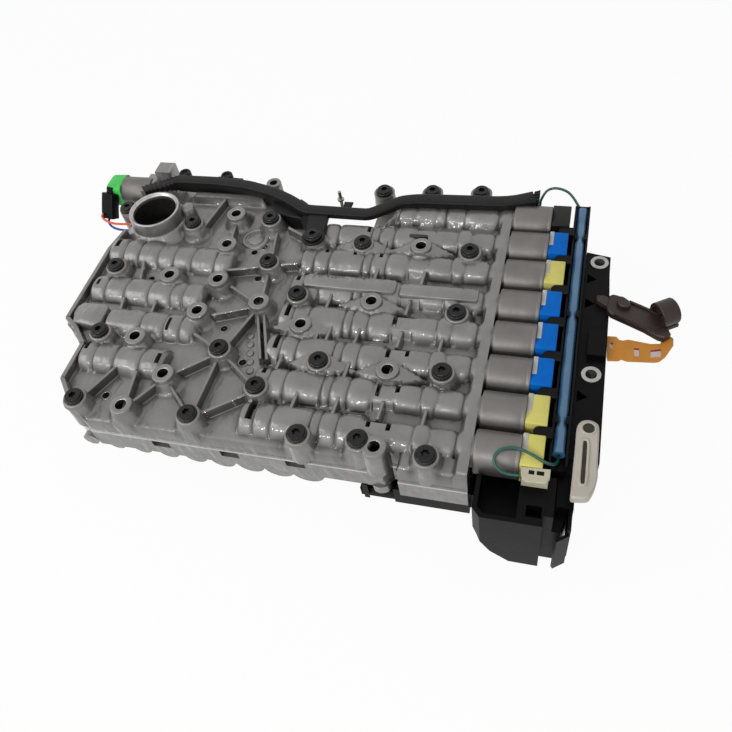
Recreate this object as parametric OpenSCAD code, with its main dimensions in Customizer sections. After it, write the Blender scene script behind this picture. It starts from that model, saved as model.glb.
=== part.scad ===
// Valve body of an automatic gearbox. Two die-cast housings clamp a steel separator plate, spool
// valves slide in the upper housing, a row of solenoids plugs into its flange, and the wiring frame
// and control unit sit beside and under the solenoids.
// Working datum: X = 0 is the solenoid flange, Y = 0 is the middle of the valve rows, Z = 0 is the
// plane where the bosses meet the gearbox case.

/* [Valve rows] */
// Distance between neighbouring valve rows
row_pitch = 26; // [25.6:0.1:28]
// Diameter of the valve bores
bore_d = 10.4; // [9:0.1:10.6]
// Radial clearance of a spool, a plug or a solenoid nose in its bore
bore_clear = 0.12; // [0.1:0.01:0.2]
// Outer radius of the cast barrels round the bores
barrel_r = 8.4; // [7.5:0.1:8.6]
// How far a gallery ring stands out of its barrel
ring_step = 1.4; // [0.6:0.1:1.5]
// Distance between neighbouring gallery rings
ring_pitch = 17.5; // [15:0.5:18]
// Width of a gallery ring
ring_w = 11; // [8:0.5:12]

/* [Housings] */
// Length of the upper housing from its left edge to the solenoid flange
body_len = 288; // [280:1:310]
// Thickness of the upper housing's floor
upper_t = 12; // [11:0.5:13]
// Height of the valve bores above the separator plate
axis_h = 10; // [10:0.1:11]
// Height of the bolt seats above the separator plate
seat_h = 21; // [19.5:0.5:23]
// Thickness of the separator plate
plate_t = 1.5; // [1:0.1:3]
// Thickness of the lower housing
lower_t = 14; // [12:0.5:20]
// Depth of the ducts and case bosses under the lower housing
foot_h = 28.5; // [27:0.5:34]
// Thickness of the stiffening ribs
rib_t = 3; // [2:0.2:4]
// How far the lower housing and the plate stand out of the upper housing
lip = 1; // [0.5:0.1:2]

/* [Bolts] */
// Shank diameter of the housing bolts
bolt_d = 6; // [5:0.5:6.5]
// Clearance round a bolt shank in its hole
bolt_clear = 0.3; // [0.2:0.1:0.5]
// Diameter of a bolt head's flange
head_d = 12.2; // [11:0.2:13]
// Height of a bolt head
head_h = 3.4; // [2.5:0.1:4]
// Diameter of the case bolt holes
case_hole_d = 7; // [6:0.2:7.4]

/* [Inlet port] */
// Outer diameter of the inlet port
port_od = 38.2; // [37:0.2:42]
// Bore of the inlet port
port_id = 32; // [28:0.2:33]
// Height of the port's rim above the separator plate
port_h = 28; // [25:0.5:34]

/* [Solenoids] */
// Diameter of a solenoid can
can_d = 24.8; // [22:0.2:25]
// Length of a solenoid can
can_len = 24; // [20:0.5:28]
// Length of a solenoid's connector cap
cap_len = 12; // [10:0.5:16]
// Width of a connector cap
cap_w = 19; // [16:0.5:21]
// Height of a connector cap
cap_h = 19; // [16:0.5:20]

/* [Wiring and control unit] */
// Width of the wiring rail
rail_w = 10; // [9:0.5:12]
// Diameter of the lead conduit in the rail
conduit_d = 6; // [4:0.2:7]
// Height of the control unit's top under the solenoids
unit_h = 38; // [34:0.5:40]
// Width of the unit's mounting strip beside the rail
strip_w = 16; // [15:0.5:20]
// Diameter of the screw holes in the unit's steel bushings
bushing_d = 6.6; // [6:0.2:8]
// Diameter of the hole in the sensor arm's eye
sensor_eye_d = 11; // [8:0.5:12]
// Diameter of a thin lead
lead_d = 1.8; // [1.2:0.1:2.2]
// Width of the cable channel
channel_w = 9; // [7:0.5:10]
// Height of the cable channel
channel_h = 4; // [3:0.5:6]

/* [Hidden] */
$fn = 48;
eps = 0.02;
seat_gap = 0.3;

// Levels
z_plate = foot_h + lower_t;
z_split = z_plate + plate_t;
z_axis = z_split + axis_h;
z_floor = z_split + upper_t;
z_seat = z_split + seat_h;
z_rib = z_seat - 3.5;
z_rim = z_split + port_h;

// Plan
left_x = -body_len;
function row_y(k) = (4.5 - k) * row_pitch;
front_y = row_y(8) - 16.5;
foot_y = row_y(8) - 20;
back_y = row_y(1) + 13;
shelf_y = row_y(1) + 1;
ledge_y = shelf_y + 8;
notch_y = row_y(2) + 6;
bore_r = bore_d / 2;
fit_r = bore_r - bore_clear;
bolt_hole_r = bolt_d / 2 + bolt_clear;

// Bolt places as [x, row]: the first list is measured from the left edge, the second from the flange
left_bolts = [[36, 6.29], [44, 8.29], [20, 4.05], [61, 2.21]];
flange_bolts = [
    [-165, 6.40], [-166.5, 8.32], [-99, 6.44], [-132, 7.34], [-97, 8.44], [-23, 8.52], [-24, 6.38],
    [-23, 4.63], [-128, 4.48], [-157, 3.46], [-23, 2.59], [-169, 1.86], [-96, 2.55], [-62, 8.36]
];
left_holes = [[62.5, 6.32], [77, 8.32], [64, 4.21]];
flange_holes = [
    [-194, 7.32], [-118.5, 5.42], [-56, 6.48], [-152, 4.84], [-56, 2.51], [-78, 4.5],
    [-187.5, 4.21], [-191.5, 5.32], [-193, 2.94], [-197, 1.75], [-52, 8.48]
];
clip_bolt = [-132, 2.48];
rear_bolts = [[-95.5, 0.2], [-60, 0.12], [-25, 0.05]];
function places(left, right) = concat(
    [for (p = left) [left_x + p[0], row_y(p[1])]],
    [for (p = right) [p[0], row_y(p[1])]]
);
bolt_places = places(left_bolts, concat(flange_bolts, [clip_bolt]));
hole_places = places(left_holes, flange_holes);
rear_places = places([], rear_bolts);

// Right-hand valves: a stop slot, the spool, its spring and a retainer in every row from the second
main_rows = [2:8];
stop_x = -58;
retain_x = -129;
main_len = 44;
main_spool_x = stop_x - 1.5;
plate_w = 1.6;
slot_w = 3.4;
slot_len = 8.6;
nose_len = 44;

// Left-hand valves as [retainer's x from the left edge, row, barrel start, barrel end]
shift_valves = [[14, 3.4, 1, 103], [18, 4.7, 1, 90], [38, 5.7, 28, 91], [37, 6.84, 23, 90]];
shift_len = 25;
shift_plug = 6;
shift_bore = 52;

// Inlet port
port_x = left_x + 29.3;
port_y = row_y(2.03);

// Solenoids and wiring
collar = 2;
can_x = collar;
cap_x = can_x + can_len;
cap_end = cap_x + cap_len;
plug_gap = 2.4;
rail_x = cap_end + plug_gap;
rail_end = rail_x + rail_w;
strip_x = rail_end + seat_gap;
strip_end = strip_x + strip_w;
strip_top = z_axis;
rail_top = z_axis + 5;
conduit_x = rail_x + rail_w / 2;
conduit_z = rail_top - conduit_d / 2 - 1;
conduit_y0 = row_y(8) + 3;
conduit_y1 = row_y(1) + 13;
unit_front = row_y(8) - 39;
unit_left = -63;
bushing_rows = [2.25, 5.7];
bushing_x = strip_x + 8.3;

// Cable channel, as [x, y] points along its middle
channel_z = z_axis + 10;
channel_end = 14;
channel_out = back_y + 5;
channel_path = [
    [left_x + 6.5, shelf_y - 3.5], [left_x + 10.6, shelf_y + 0.3], [left_x + 21.5, shelf_y + 5.6],
    [left_x + 30.6, shelf_y + 12], [-224, shelf_y + 12], [-198, shelf_y + 9.5], [-175, shelf_y + 3.3],
    [-160, notch_y + 17], [-145.4, notch_y + 7.8], [-98.3, notch_y + 7.3], [-88, notch_y + 14.4],
    [-78, back_y - 9.5], [-66, back_y - 7], [-28.7, back_y - 4.2], [-12, back_y - 3.5], [-3, back_y + 0.5],
    [4, back_y + 3.5], [channel_end, channel_out]
];

// Locating pin on a tab behind the channel
pin = [-122, notch_y + 20];
pin_r = 1.2;
pin_z = z_axis + 4;
tab_t = 2.4;

// Lock solenoid at the back left corner
lock_y = shelf_y + 16;
lock_z = z_split + 5;
lock_r = 10;
lock_x = left_x - 3;
lock_len = 23;
lock_cap = 14;

// Thin leads, as points along their middle, each list measured from one place
function from(base, steps) = [for (p = steps) base + p];
green_lower = from([conduit_x, conduit_y0, conduit_z], [
    [0, -0.5, 0], [0, -3, 0.6], [-1.2, -6.5, 2.9], [-3.4, -8.8, 5.9], [-6.6, -9.6, 8.7], [-13, -7.4, 10.5],
    [-20, -5.6, 11.9], [-26, -6.2, 12.7], [-30.6, -9, 12.5], [-32.4, -13, 10.9], [-30.4, -16.6, 8.1],
    [-25.6, -18, 5.9], [-18, -17.4, 4.9]
]);
green_upper = from([conduit_x, conduit_y1, conduit_z], [
    [0, 0.5, 0], [-2.5, 4.3, 1], [-8, 10.6, 5], [-13, 12.5, 8], [-19.9, 13.3, 9], [-25.2, 12.5, 7],
    [-28.4, 9.6, 2], [-29, 8.9, -3], [-29.2, 7, -8], [-29.5, 2.5, -12.6], [-29.8, -3, -15], [-30, -8, -15.7]
]);
orange_path = from([lock_x, lock_y, lock_z], [
    [-34, -23.4, -4.5], [-33.2, -27, -5.5], [-28, -30, -6.5], [-21, -31.5, -7], [-14, -31, -7.5],
    [-7, -29.4, -8.4], [0.1, -27.8, -9]
]);
blue_path = from([lock_x, lock_y, lock_z], [
    [-30, -23.4, -9], [-29.2, -27.5, -10], [-25, -31, -11], [-19, -33, -11.5], [-12, -33, -12],
    [-6, -32, -12.5], [0.1, -30.8, -13]
]);

// Middle of the whole part, so that the origin lies under it
left_end = lock_x - lock_len - lock_cap;
right_end = strip_end + 38.3;
rear_end = back_y + 20;
middle_x = (left_end + right_end) / 2;
middle_y = (unit_front + rear_end) / 2;

casting = [0.60, 0.59, 0.57];
dark_steel = [0.16, 0.16, 0.16];
bright_steel = [0.72, 0.72, 0.72];
black_plastic = [0.18, 0.175, 0.17];
cap_blue = [0.05, 0.42, 0.82];
cap_yellow = [0.84, 0.80, 0.42];
cap_colours = [
    black_plastic, cap_blue, cap_yellow, cap_blue, cap_blue, cap_blue, cap_yellow, cap_yellow
];

// Shared shapes

module at(p, z = 0) {
    translate([p[0], p[1], z]) children();
}

// A round rod along X from x0 to x1
module rod_x(x0, x1, r) {
    translate([x0, 0, 0]) rotate([0, 90, 0]) cylinder(h = x1 - x0, r = r);
}

// A profile of [radius, x] points turned round the X axis
module turned_x(points) {
    rotate([0, 90, 0]) rotate_extrude() polygon(points);
}

// A box between two corners
module block(low, high) {
    translate(low) cube(high - low);
}

// A flat bar between two points in plan
module bar(p, q, width, z0, z1) {
    run = q - p;
    translate([p[0], p[1], z0]) rotate([0, 0, atan2(run[1], run[0])])
        translate([0, -width / 2, 0]) cube([norm(run), width, z1 - z0]);
}

// A rounded rectangle about the origin
module rounded(width, height, r) {
    square([width - 2 * r, height], center = true);
    square([width, height - 2 * r], center = true);
    for (x = [-1, 1], y = [-1, 1])
        translate([x * (width / 2 - r), y * (height / 2 - r)]) circle(r);
}

// The left and right side of a strip that follows a path
function side(path, half) = [
    for (i = [0:len(path) - 1])
        let (
            before = path[max(i - 1, 0)],
            after = path[min(i + 1, len(path) - 1)],
            run = (after - before) / norm(after - before)
        )
        path[i] + half * [-run[1], run[0]]
];
function backwards(list) = [for (i = [len(list) - 1:-1:0]) list[i]];
module strip(path, width) {
    polygon(concat(side(path, width / 2), backwards(side(path, -width / 2))));
}

// A round tube swept along points, with flat ends
function unit(v) = v / norm(v);
function sweep_ring(path, i, r, sides) =
    let (
        run = unit(path[min(i + 1, len(path) - 1)] - path[max(i - 1, 0)]),
        across = unit(cross(run, abs(run[2]) > 0.8 ? [1, 0, 0] : [0, 0, 1])),
        up = cross(across, run)
    )
    [for (j = [0:sides - 1]) path[i] + r * (cos(360 * j / sides) * across + sin(360 * j / sides) * up)];
module swept(path, r, sides = 8) {
    last = len(path) - 1;
    points = [for (i = [0:last]) each sweep_ring(path, i, r, sides)];
    walls = [
        for (i = [0:last - 1], j = [0:sides - 1])
            let (a = i * sides + j, b = i * sides + (j + 1) % sides)
            each [[a, b, b + sides], [a, b + sides, a + sides]]
    ];
    ends = [
        [for (j = [sides - 1:-1:0]) j],
        [for (j = [0:sides - 1]) last * sides + j]
    ];
    polyhedron(points, concat(walls, ends), convexity = 6);
}

// A smooth route through hand-placed points, with extra points between them
function curve_at(p, i, t) =
    let (
        a = p[max(i - 1, 0)], b = p[i], c = p[i + 1], d = p[min(i + 2, len(p) - 1)]
    )
    0.5 * (2 * b + (c - a) * t + (2 * a - 5 * b + 4 * c - d) * t * t + (3 * b - a - 3 * c + d) * t * t * t);
function smooth(p, steps) = concat(
    [for (i = [0:len(p) - 2], s = [0:steps - 1]) curve_at(p, i, s / steps)],
    [p[len(p) - 1]]
);

// Upper housing

module plan(front, out = 0) {
    polygon([
        [0, foot_y - out], [-39, foot_y - out], [-39, front + 6 - out], [-44, front + 6 - out],
        [-49, front - out], [left_x + 51, front - out], [left_x + 40, front + 4.5 - out],
        [left_x + 22 - out, row_y(7.73)], [left_x + 22 - out, row_y(6.62)],
        [left_x + 10 - out, row_y(6.19)], [left_x - out, row_y(5.88)], [left_x - out, row_y(3.27)],
        [left_x + 4 - out, row_y(2.5)], [left_x + 4 - out, row_y(1.6)], [left_x + 18, shelf_y],
        [left_x + 36, shelf_y], [left_x + 42, ledge_y], [-178, ledge_y],
        [-156, notch_y], [-92, notch_y], [-80, back_y], [0, back_y]
    ]);
}

// A cast barrel with gallery rings at the given centres
module barrel(x0, x1, rings) {
    big = barrel_r + ring_step;
    half = ring_w / 2;
    turned_x(concat(
        [[0, x0], [barrel_r - 2, x0], [barrel_r, x0 + 2]],
        [for (c = rings) each [
            [barrel_r, c - half], [big, c - half + 1], [big, c + half - 1], [barrel_r, c + half]
        ]],
        [[barrel_r, x1], [0, x1]]
    ));
}

function main_rings(first) = concat(
    [for (i = [0:2]) if (stop_x - 50 + i * ring_pitch > first + 8) stop_x - 50 + i * ring_pitch],
    [-31]
);

module boss(p, r, top) {
    at(p, z_floor - 1) cylinder(h = top - z_floor + 1, r1 = r + 1.2, r2 = r);
}

// Ribs of the web between the left and right valves, as pairs of places
hub = [-152, row_y(4.84)];
knee = [-165, row_y(6.40)];
web_ribs = [
    [hub, [-157, row_y(3.46)]], [hub, [-182, row_y(5.3)]], [hub, knee], [hub, [-132, row_y(6.75)]],
    [hub, [-178, row_y(4.3)]], [knee, [-132, row_y(7.34)]], [knee, [-194, row_y(7.32)]],
    [knee, [-188, row_y(5.95)]], [knee, [-166.5, row_y(8.32)]],
    [[-194, row_y(7.32)], [-166.5, row_y(8.32)]], [[-194, row_y(7.32)], [left_x + 77, row_y(8.32)]],
    [[-166.5, row_y(8.32)], [-132, row_y(7.34)]], [[-157, row_y(3.46)], [-186, row_y(3.75)]],
    [[-157, row_y(3.46)], [-138, row_y(3.3)]], [[-157, row_y(3.46)], [-162, row_y(2.25)]],
    [[-155, row_y(2.01)], [-132, row_y(2.48)]], [[-197, row_y(1.75)], [-193, row_y(2.94)]],
    [[left_x + 44, row_y(8.29)], [left_x + 57, row_y(7.25)]],
    [[left_x + 77, row_y(8.32)], [left_x + 73, row_y(7.25)]],
    [[left_x + 68, row_y(2.2)], [left_x + 74, shelf_y - 2]]
];
cross_ribs = [-102, -77.5, -50, -28.5];
rim_path = [
    [left_x + 6.4, row_y(2.5)], [left_x + 2.4, row_y(3.27)], [left_x + 2.4, row_y(5.83)],
    [left_x + 12.4, row_y(6.1)], [left_x + 24.5, row_y(6.58)], [left_x + 24.5, row_y(7.68)],
    [left_x + 40, row_y(8.35)]
];
drill_places = [
    [-167, row_y(5.82)], [-145.5, row_y(6.75)], [-163.5, row_y(2.96)], [-169, row_y(3.19)],
    [-158.5, row_y(4.11)], [left_x + 64.5, row_y(8.13)], [left_x + 54, row_y(4.42)]
];
dot_places = [for (i = [0:4]) [-146 + 1.75 * i, row_y(6.02) - 6.6 * i]];
// Cast slots across the barrels, as [x, row, size along X, size along Y]
core_slots = [
    [-46, 6.1, 3, 5.5], [-46, 7.1, 3, 5.5], [-46, 8.05, 3, 5.5], [-117, 3.05, 3, 5], [-97.5, 3.05, 3, 5],
    [-79, 3.07, 3, 5.5], [-94, 1.9, 3, 8], [-57, 2.15, 13, 3.5]
];
plug_boss = [-179, row_y(2.32)];
post = [left_x + 51, row_y(1.67)];

module port_wall() {
    at([port_x, port_y]) rotate_extrude() polygon([
        [0, z_split], [port_od / 2 + 2.6, z_split], [port_od / 2 + 2.2, z_floor], [port_od / 2, z_floor + 6],
        [port_od / 2, z_rim - 1], [port_od / 2 - 1, z_rim], [0, z_rim]
    ]);
}

module upper_castings() {
    translate([0, 0, z_split]) linear_extrude(upper_t) plan(front_y);
    block([-7, foot_y, z_split + 1], [0, row_y(1) + 9.5, z_axis + 8]);
    block([-39, foot_y, z_split + 1], [-1, row_y(8) - 9, z_floor + 2]);
    for (k = main_rows)
        translate([0, row_y(k), z_axis]) barrel(retain_x - 6, -4, main_rings(retain_x));
    translate([0, row_y(1), z_axis]) barrel(-78, -4, main_rings(-78));
    for (v = shift_valves)
        translate([0, row_y(v[1]), z_axis])
            barrel(left_x + v[2], left_x + v[3], [for (c = [20, 37]) left_x + v[0] + c]);
    for (p = bolt_places) boss(p, head_d / 2 + 1.3, z_seat);
    for (p = hole_places) boss(p, case_hole_d / 2 + 3.2, z_seat + 1);
    for (r = web_ribs) bar(r[0], r[1], rib_t, z_floor - 1, z_rib);
    for (x = cross_ribs) block([x - rib_t / 2, row_y(8), z_floor - 1], [x + rib_t / 2, row_y(2), z_axis + 7]);
    for (i = [0:len(rim_path) - 2]) bar(rim_path[i], rim_path[i + 1], 4, z_floor - 1, z_floor + 4);
    block([-127, row_y(4) - 4, z_axis], [-65, row_y(4) + 7, z_seat + 0.6]);
    block([-62, row_y(4) - 5, z_axis], [-12, row_y(4) + 5, z_seat - 0.4]);
    block([left_x + 9, row_y(5.36), z_floor - 1], [left_x + 29, row_y(6.05), z_seat - 2]);
    block([left_x + 43, ledge_y - 12, z_floor - 1], [-180, ledge_y - 0.5, z_floor + 5]);
    at(plug_boss, z_floor - 1) cylinder(h = 4, r = 10, $fn = 8);
    at(plug_boss, z_floor - 1) cylinder(h = 5, r = 6.5);
    boss(post, 5, z_seat - 1);
    for (p = dot_places) at(p, z_floor - 1) cylinder(h = 1.8, r = 2.7);
    port_wall();
}

module upper_housing() {
    color(casting) difference() {
        upper_castings();
        at([port_x, port_y], z_split + 5) cylinder(h = port_h, d = port_id);
        for (k = main_rows)
            translate([0, row_y(k), z_axis]) rod_x(retain_x - 3, 1, bore_r);
        translate([0, row_y(1), z_axis]) rod_x(-nose_len - 6, 1, bore_r);
        for (v = shift_valves)
            translate([0, row_y(v[1]), z_axis]) rod_x(left_x - 9, left_x + v[0] + shift_bore, bore_r);
        for (k = main_rows, x = [stop_x, retain_x])
            translate([x - slot_w / 2, row_y(k) - slot_len / 2, z_axis - bore_r - 1])
                cube([slot_w, slot_len, 40]);
        for (v = shift_valves)
            translate([left_x + v[0] - slot_w / 2, row_y(v[1]) - slot_len / 2, z_axis - bore_r - 1])
                cube([slot_w, slot_len, 40]);
        for (s = core_slots)
            translate([s[0] - s[2] / 2, row_y(s[1]) - s[3] / 2, z_axis + 1]) cube([s[2], s[3], 40]);
        for (p = bolt_places) at(p, z_split - 1) cylinder(h = 60, r = bolt_hole_r);
        for (p = bolt_places) at(p, z_seat) cylinder(h = 20, r = head_d / 2 + seat_gap);
        for (p = hole_places) at(p, z_split - 1) cylinder(h = 60, d = case_hole_d);
        for (p = drill_places) at(p, z_floor - 6) cylinder(h = 40, r = 2.2);
    }
}

// Separator plate and lower housing

module separator_plate() {
    color(bright_steel) translate([0, 0, z_plate]) linear_extrude(plate_t) difference() {
        plan(front_y, lip);
        for (p = bolt_places) at(p) circle(bolt_hole_r);
        for (p = hole_places) at(p) circle(d = case_hole_d);
        for (k = main_rows, x = [-72, -88, -104]) translate([x, row_y(k)]) circle(d = 4.5);
        for (v = shift_valves, x = [28, 42]) translate([left_x + v[0] + x, row_y(v[1])]) circle(d = 4);
    }
}

// Ducts that bulge out of the lower housing's underside, each a little deeper than the last
duct_count = 9;
duct_x0 = left_x + 43;
duct_pitch = 18.5;
deep_holes = [for (p = hole_places) if (p[1] > row_y(8)) p];
front_holes = [for (p = hole_places) if (p[1] <= row_y(8)) p];
rear_post_top = z_seat - 7.4;
lug = [left_x - 13, shelf_y - 5];
lug_top = z_split + 5;

module lower_castings() {
    translate([0, 0, foot_h]) linear_extrude(lower_t) plan(front_y, lip);
    for (i = [0:duct_count - 1])
        translate([duct_x0 + i * duct_pitch, front_y + 1 - lip, foot_h + 1]) rotate([-90, 0, 0])
            cylinder(h = i % 2 == 0 ? 104 : 22, r = 5.2 + i * 0.7);
    for (p = deep_holes) at(p)
        cylinder(h = foot_h + 1, r1 = case_hole_d / 2 + 3.2, r2 = case_hole_d / 2 + 4.6);
    for (p = front_holes) at(p, foot_h - 6) cylinder(h = 7, r = case_hole_d / 2 + 3);
    for (p = rear_places) {
        at(p, foot_h) cylinder(h = rear_post_top - foot_h, r1 = 9, r2 = 7.6);
        bar(p, [p[0], back_y - 14], 10, foot_h, z_plate);
    }
    bar(rear_places[0], [-78, back_y - 12], 10, foot_h, z_plate);
    block([left_x - 2.5, shelf_y - 20, foot_h - 6], [left_x + 34, lock_y + 10, z_plate - 0.5]);
    block([left_x - 2.5, lock_y - 11, foot_h - 6], [left_x + 6, lock_y + 10, lock_z + 10]);
    block([left_x + 11, lock_y - 2, z_plate - 2], [left_x + 24, lock_y + 10, z_seat + 6]);
    at(lug, foot_h) cylinder(h = lug_top - foot_h, r1 = 7.6, r2 = 6.8);
    bar(lug, lug + [16, 0], 10, foot_h, z_plate - 3);
}

module lower_housing() {
    color(casting * 0.95) difference() {
        lower_castings();
        for (p = bolt_places) at(p, foot_h + 3) cylinder(h = 60, r = bolt_hole_r);
        for (p = hole_places) at(p, -1) cylinder(h = 80, d = case_hole_d);
        for (p = concat(rear_places, [lug])) at(p, foot_h + 8) cylinder(h = 60, r = bolt_hole_r);
        for (x = [left_x + 92, -150, -108])
            block([x, front_y - 3, z_plate - 6], [x + 12, front_y + 2, z_plate + 1]);
        at([port_x, port_y], z_plate - 8) cylinder(h = 20, d = port_id - 6);
        translate([left_x - 9, lock_y, lock_z]) rod_x(0, 16, 6);
    }
}

// Flange bolt with a six-lobed recess, its seat at Z = 0
module bolt(length) {
    difference() {
        union() {
            cylinder(h = head_h * 0.35, d = head_d);
            translate([0, 0, head_h * 0.35 - eps])
                cylinder(h = head_h * 0.65, d1 = head_d, d2 = head_d * 0.72);
            translate([0, 0, -length]) cylinder(h = length + eps, d = bolt_d);
        }
        translate([0, 0, head_h - 2]) for (i = [0:2]) rotate([0, 0, 60 * i])
            cube([head_d * 0.42, head_d * 0.14, 6], center = true);
        translate([0, 0, head_h - 2]) cylinder(h = 3, d = head_d * 0.32);
    }
}

module housing_bolts() {
    color(dark_steel) for (p = bolt_places) {
        lift = p == [clip_bolt[0], row_y(clip_bolt[1])] ? 1.6 : 0;
        at(p, z_seat + lift) bolt(z_seat - foot_h - 5);
    }
}

module rear_bolts() {
    color(dark_steel) {
        for (p = rear_places) at(p, rear_post_top) bolt(rear_post_top - foot_h - 10);
        at(lug, lug_top) bolt(lug_top - foot_h - 10);
    }
}

module dowel_pin() {
    color(bright_steel) at(pin, pin_z) {
        cylinder(h = 16, r = pin_r);
        translate([0, 0, channel_z + tab_t - pin_z]) cylinder(h = 1.2, r = pin_r + 1.2);
    }
}

// Valves

// Spool with three lands, from its right end at x towards the left, and a spring stem
module spool(x, length, stem) {
    land = length * 0.2;
    waist = fit_r * 0.62;
    gap = (length - 3 * land) / 2;
    turned_x([
        [0, x - length - stem], [fit_r * 0.4, x - length - stem],
        [fit_r * 0.4, x - length], [fit_r, x - length],
        [fit_r, x - length + land], [waist, x - length + land], [waist, x - length + land + gap],
        [fit_r, x - length + land + gap], [fit_r, x - length + 2 * land + gap],
        [waist, x - length + 2 * land + gap],
        [waist, x - land], [fit_r, x - land], [fit_r, x - 0.6], [fit_r - 0.6, x], [0, x]
    ]);
}

module main_spool(k) {
    color(bright_steel) translate([0, row_y(k), z_axis]) spool(main_spool_x, main_len, 4);
}

function shift_right(v) = left_x + v[0] + shift_bore - 0.5;
module shift_spool(i) {
    v = shift_valves[i - 1];
    color(bright_steel) translate([0, row_y(v[1]), z_axis]) spool(shift_right(v), shift_len, 3);
}

// Coil spring between two X stations
module coil(x0, x1, r, wire, turns) {
    steps = turns * 8;
    swept([
        for (i = [0:steps])
            [x0 + wire + (x1 - x0 - 2 * wire) * i / steps, r * cos(45 * i), r * sin(45 * i)]
    ], wire, 6);
}

module main_springs() {
    color(dark_steel) for (k = main_rows) translate([0, row_y(k), z_axis])
        coil(retain_x + plate_w / 2, main_spool_x - main_len, fit_r * 0.7, 0.55, 6);
}

module shift_springs() {
    color(dark_steel) for (v = shift_valves) translate([0, row_y(v[1]), z_axis])
        coil(left_x + v[0] + plate_w / 2 + shift_plug, shift_right(v) - shift_len, fit_r * 0.7, 0.5, 5);
}

// Flat retainers standing in the slots across the bores
module slot_plate(x, y, top) {
    translate([x - plate_w / 2, y - slot_len / 2 + seat_gap, z_axis - bore_r - 1])
        cube([plate_w, slot_len - 2 * seat_gap, top - z_axis + bore_r + 1]);
}

module valve_retainers() {
    color(dark_steel) {
        for (k = main_rows) slot_plate(retain_x, row_y(k), z_axis + barrel_r - 2.5);
        for (v = shift_valves) slot_plate(left_x + v[0], row_y(v[1]), z_axis + barrel_r - 2.5);
    }
}

module stop_plates() {
    color(dark_steel) for (k = main_rows) slot_plate(stop_x, row_y(k), z_axis + barrel_r - 2.5);
}

module shift_plugs() {
    color(bright_steel) for (v = shift_valves) translate([0, row_y(v[1]), z_axis])
        rod_x(left_x + v[0] + plate_w / 2, left_x + v[0] + plate_w / 2 + shift_plug, fit_r);
}

// Solenoids

module solenoid(k) {
    r = can_d / 2;
    color([0.42, 0.40, 0.38]) translate([0, row_y(k), z_axis]) turned_x([
        [0, -nose_len], [fit_r - 1, -nose_len], [fit_r, -nose_len + 1], [fit_r, -30], [fit_r - 1, -30],
        [fit_r - 1, -28], [fit_r, -28], [fit_r, -12], [fit_r - 1, -12], [fit_r - 1, -10], [fit_r, -10],
        [fit_r, 0], [r - 3, 0], [r - 3, can_x], [r - 0.8, can_x], [r, can_x + 0.8], [r, cap_x - 4],
        [r - 0.5, cap_x - 3.6], [r - 0.5, cap_x - 2.6], [r, cap_x - 2.2], [r, cap_x - 0.8], [r - 0.8, cap_x],
        [0, cap_x]
    ]);
}

module solenoid_cap(k) {
    color(cap_colours[k - 1]) translate([0, row_y(k), z_axis]) difference() {
        rotate([90, 0, 90]) union() {
            translate([0, 0, cap_x]) linear_extrude(cap_len - 1) rounded(cap_w, cap_h, 3.5);
            translate([0, 0, cap_x]) linear_extrude(cap_len) rounded(cap_w - 2, cap_h - 2, 2.5);
        }
        block([cap_x + 3, -cap_w / 2 - 1, -cap_h / 2 - 1], [cap_end - 3.5, -cap_w / 2 + 1.2, 2]);
        translate([cap_end - 4, 0, -2]) rotate([90, 0, 90]) linear_extrude(10) square([9, 6], center = true);
    }
}

module solenoid_screws() {
    color(dark_steel) for (k = [2.5, 4.5, 6.5]) translate([0, row_y(k), z_split + 2.4]) rod_x(0, 4.4, 2.2);
}

// Wiring rail with a socket for every solenoid and round fingers between the caps

rail_y0 = row_y(8) - 4;
rail_y1 = row_y(1) + 15;
module wiring_rail() {
    color(black_plastic) difference() {
        union() {
            block([rail_x, rail_y0, unit_h + seat_gap], [rail_end, rail_y1, rail_top]);
            for (k = [1:8]) translate([0, row_y(k), z_axis]) {
                translate([cap_end - 3.4, 0, -2]) rotate([90, 0, 90])
                    linear_extrude(rail_x - cap_end + 4) square([8.4, 5.4], center = true);
                if (k < 8) {
                    finger = (row_pitch - cap_w) / 2 - seat_gap;
                    block([cap_x + 6, -row_pitch / 2 - finger, -8], [rail_x + 1, -row_pitch / 2 + finger, 5]);
                    translate([cap_x + 6, -row_pitch / 2, -8]) cylinder(h = 13, r = finger);
                }
            }
        }
        translate([conduit_x, rail_y1 + 1, conduit_z]) rotate([90, 0, 0])
            cylinder(h = rail_y1 - rail_y0 + 2, d = conduit_d + 2 * seat_gap);
        block([conduit_x - conduit_d / 2 + 0.4, rail_y0 - 1, conduit_z],
            [conduit_x + conduit_d / 2 - 0.4, rail_y1 + 1, rail_top + 1]);
    }
    color(black_plastic) for (k = [1.6, 4.15, 7.1]) translate([0, row_y(k), 0])
        block([rail_x + 1, -2.5, conduit_z + conduit_d / 2 + seat_gap], [rail_end - 1, 2.5, rail_top + 1.2]);
}

module lead_conduit() {
    color([0.44, 0.64, 0.77]) translate([conduit_x, 0, conduit_z]) rotate([90, 0, 0]) difference() {
        translate([0, 0, -conduit_y1]) cylinder(h = conduit_y1 - conduit_y0, d = conduit_d);
        translate([0, 0, -conduit_y1 - 1]) cylinder(h = conduit_y1 - conduit_y0 + 2, d = lead_d + 1);
    }
}

module lead(path) {
    swept(smooth(path, 3), lead_d / 2);
}

module green_lead_lower() {
    color([0.06, 0.42, 0.35]) lead(green_lower);
}

module green_lead_upper() {
    color([0.06, 0.42, 0.35]) lead(green_upper);
}

module lead_plug() {
    color([0.85, 0.84, 0.80]) block([pocket_x + 0.5, gate_y - 7.2, apron_top + seat_gap],
        [pocket_x + 14, gate_y, apron_top + 6.5]);
}

// Control unit

body_front = row_y(8) - 14;
gate_y = row_y(8) - 10.3;
pocket_x = 27.5;
apron_top = z_axis + 1;
base_end = rail_end - 6;

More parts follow.
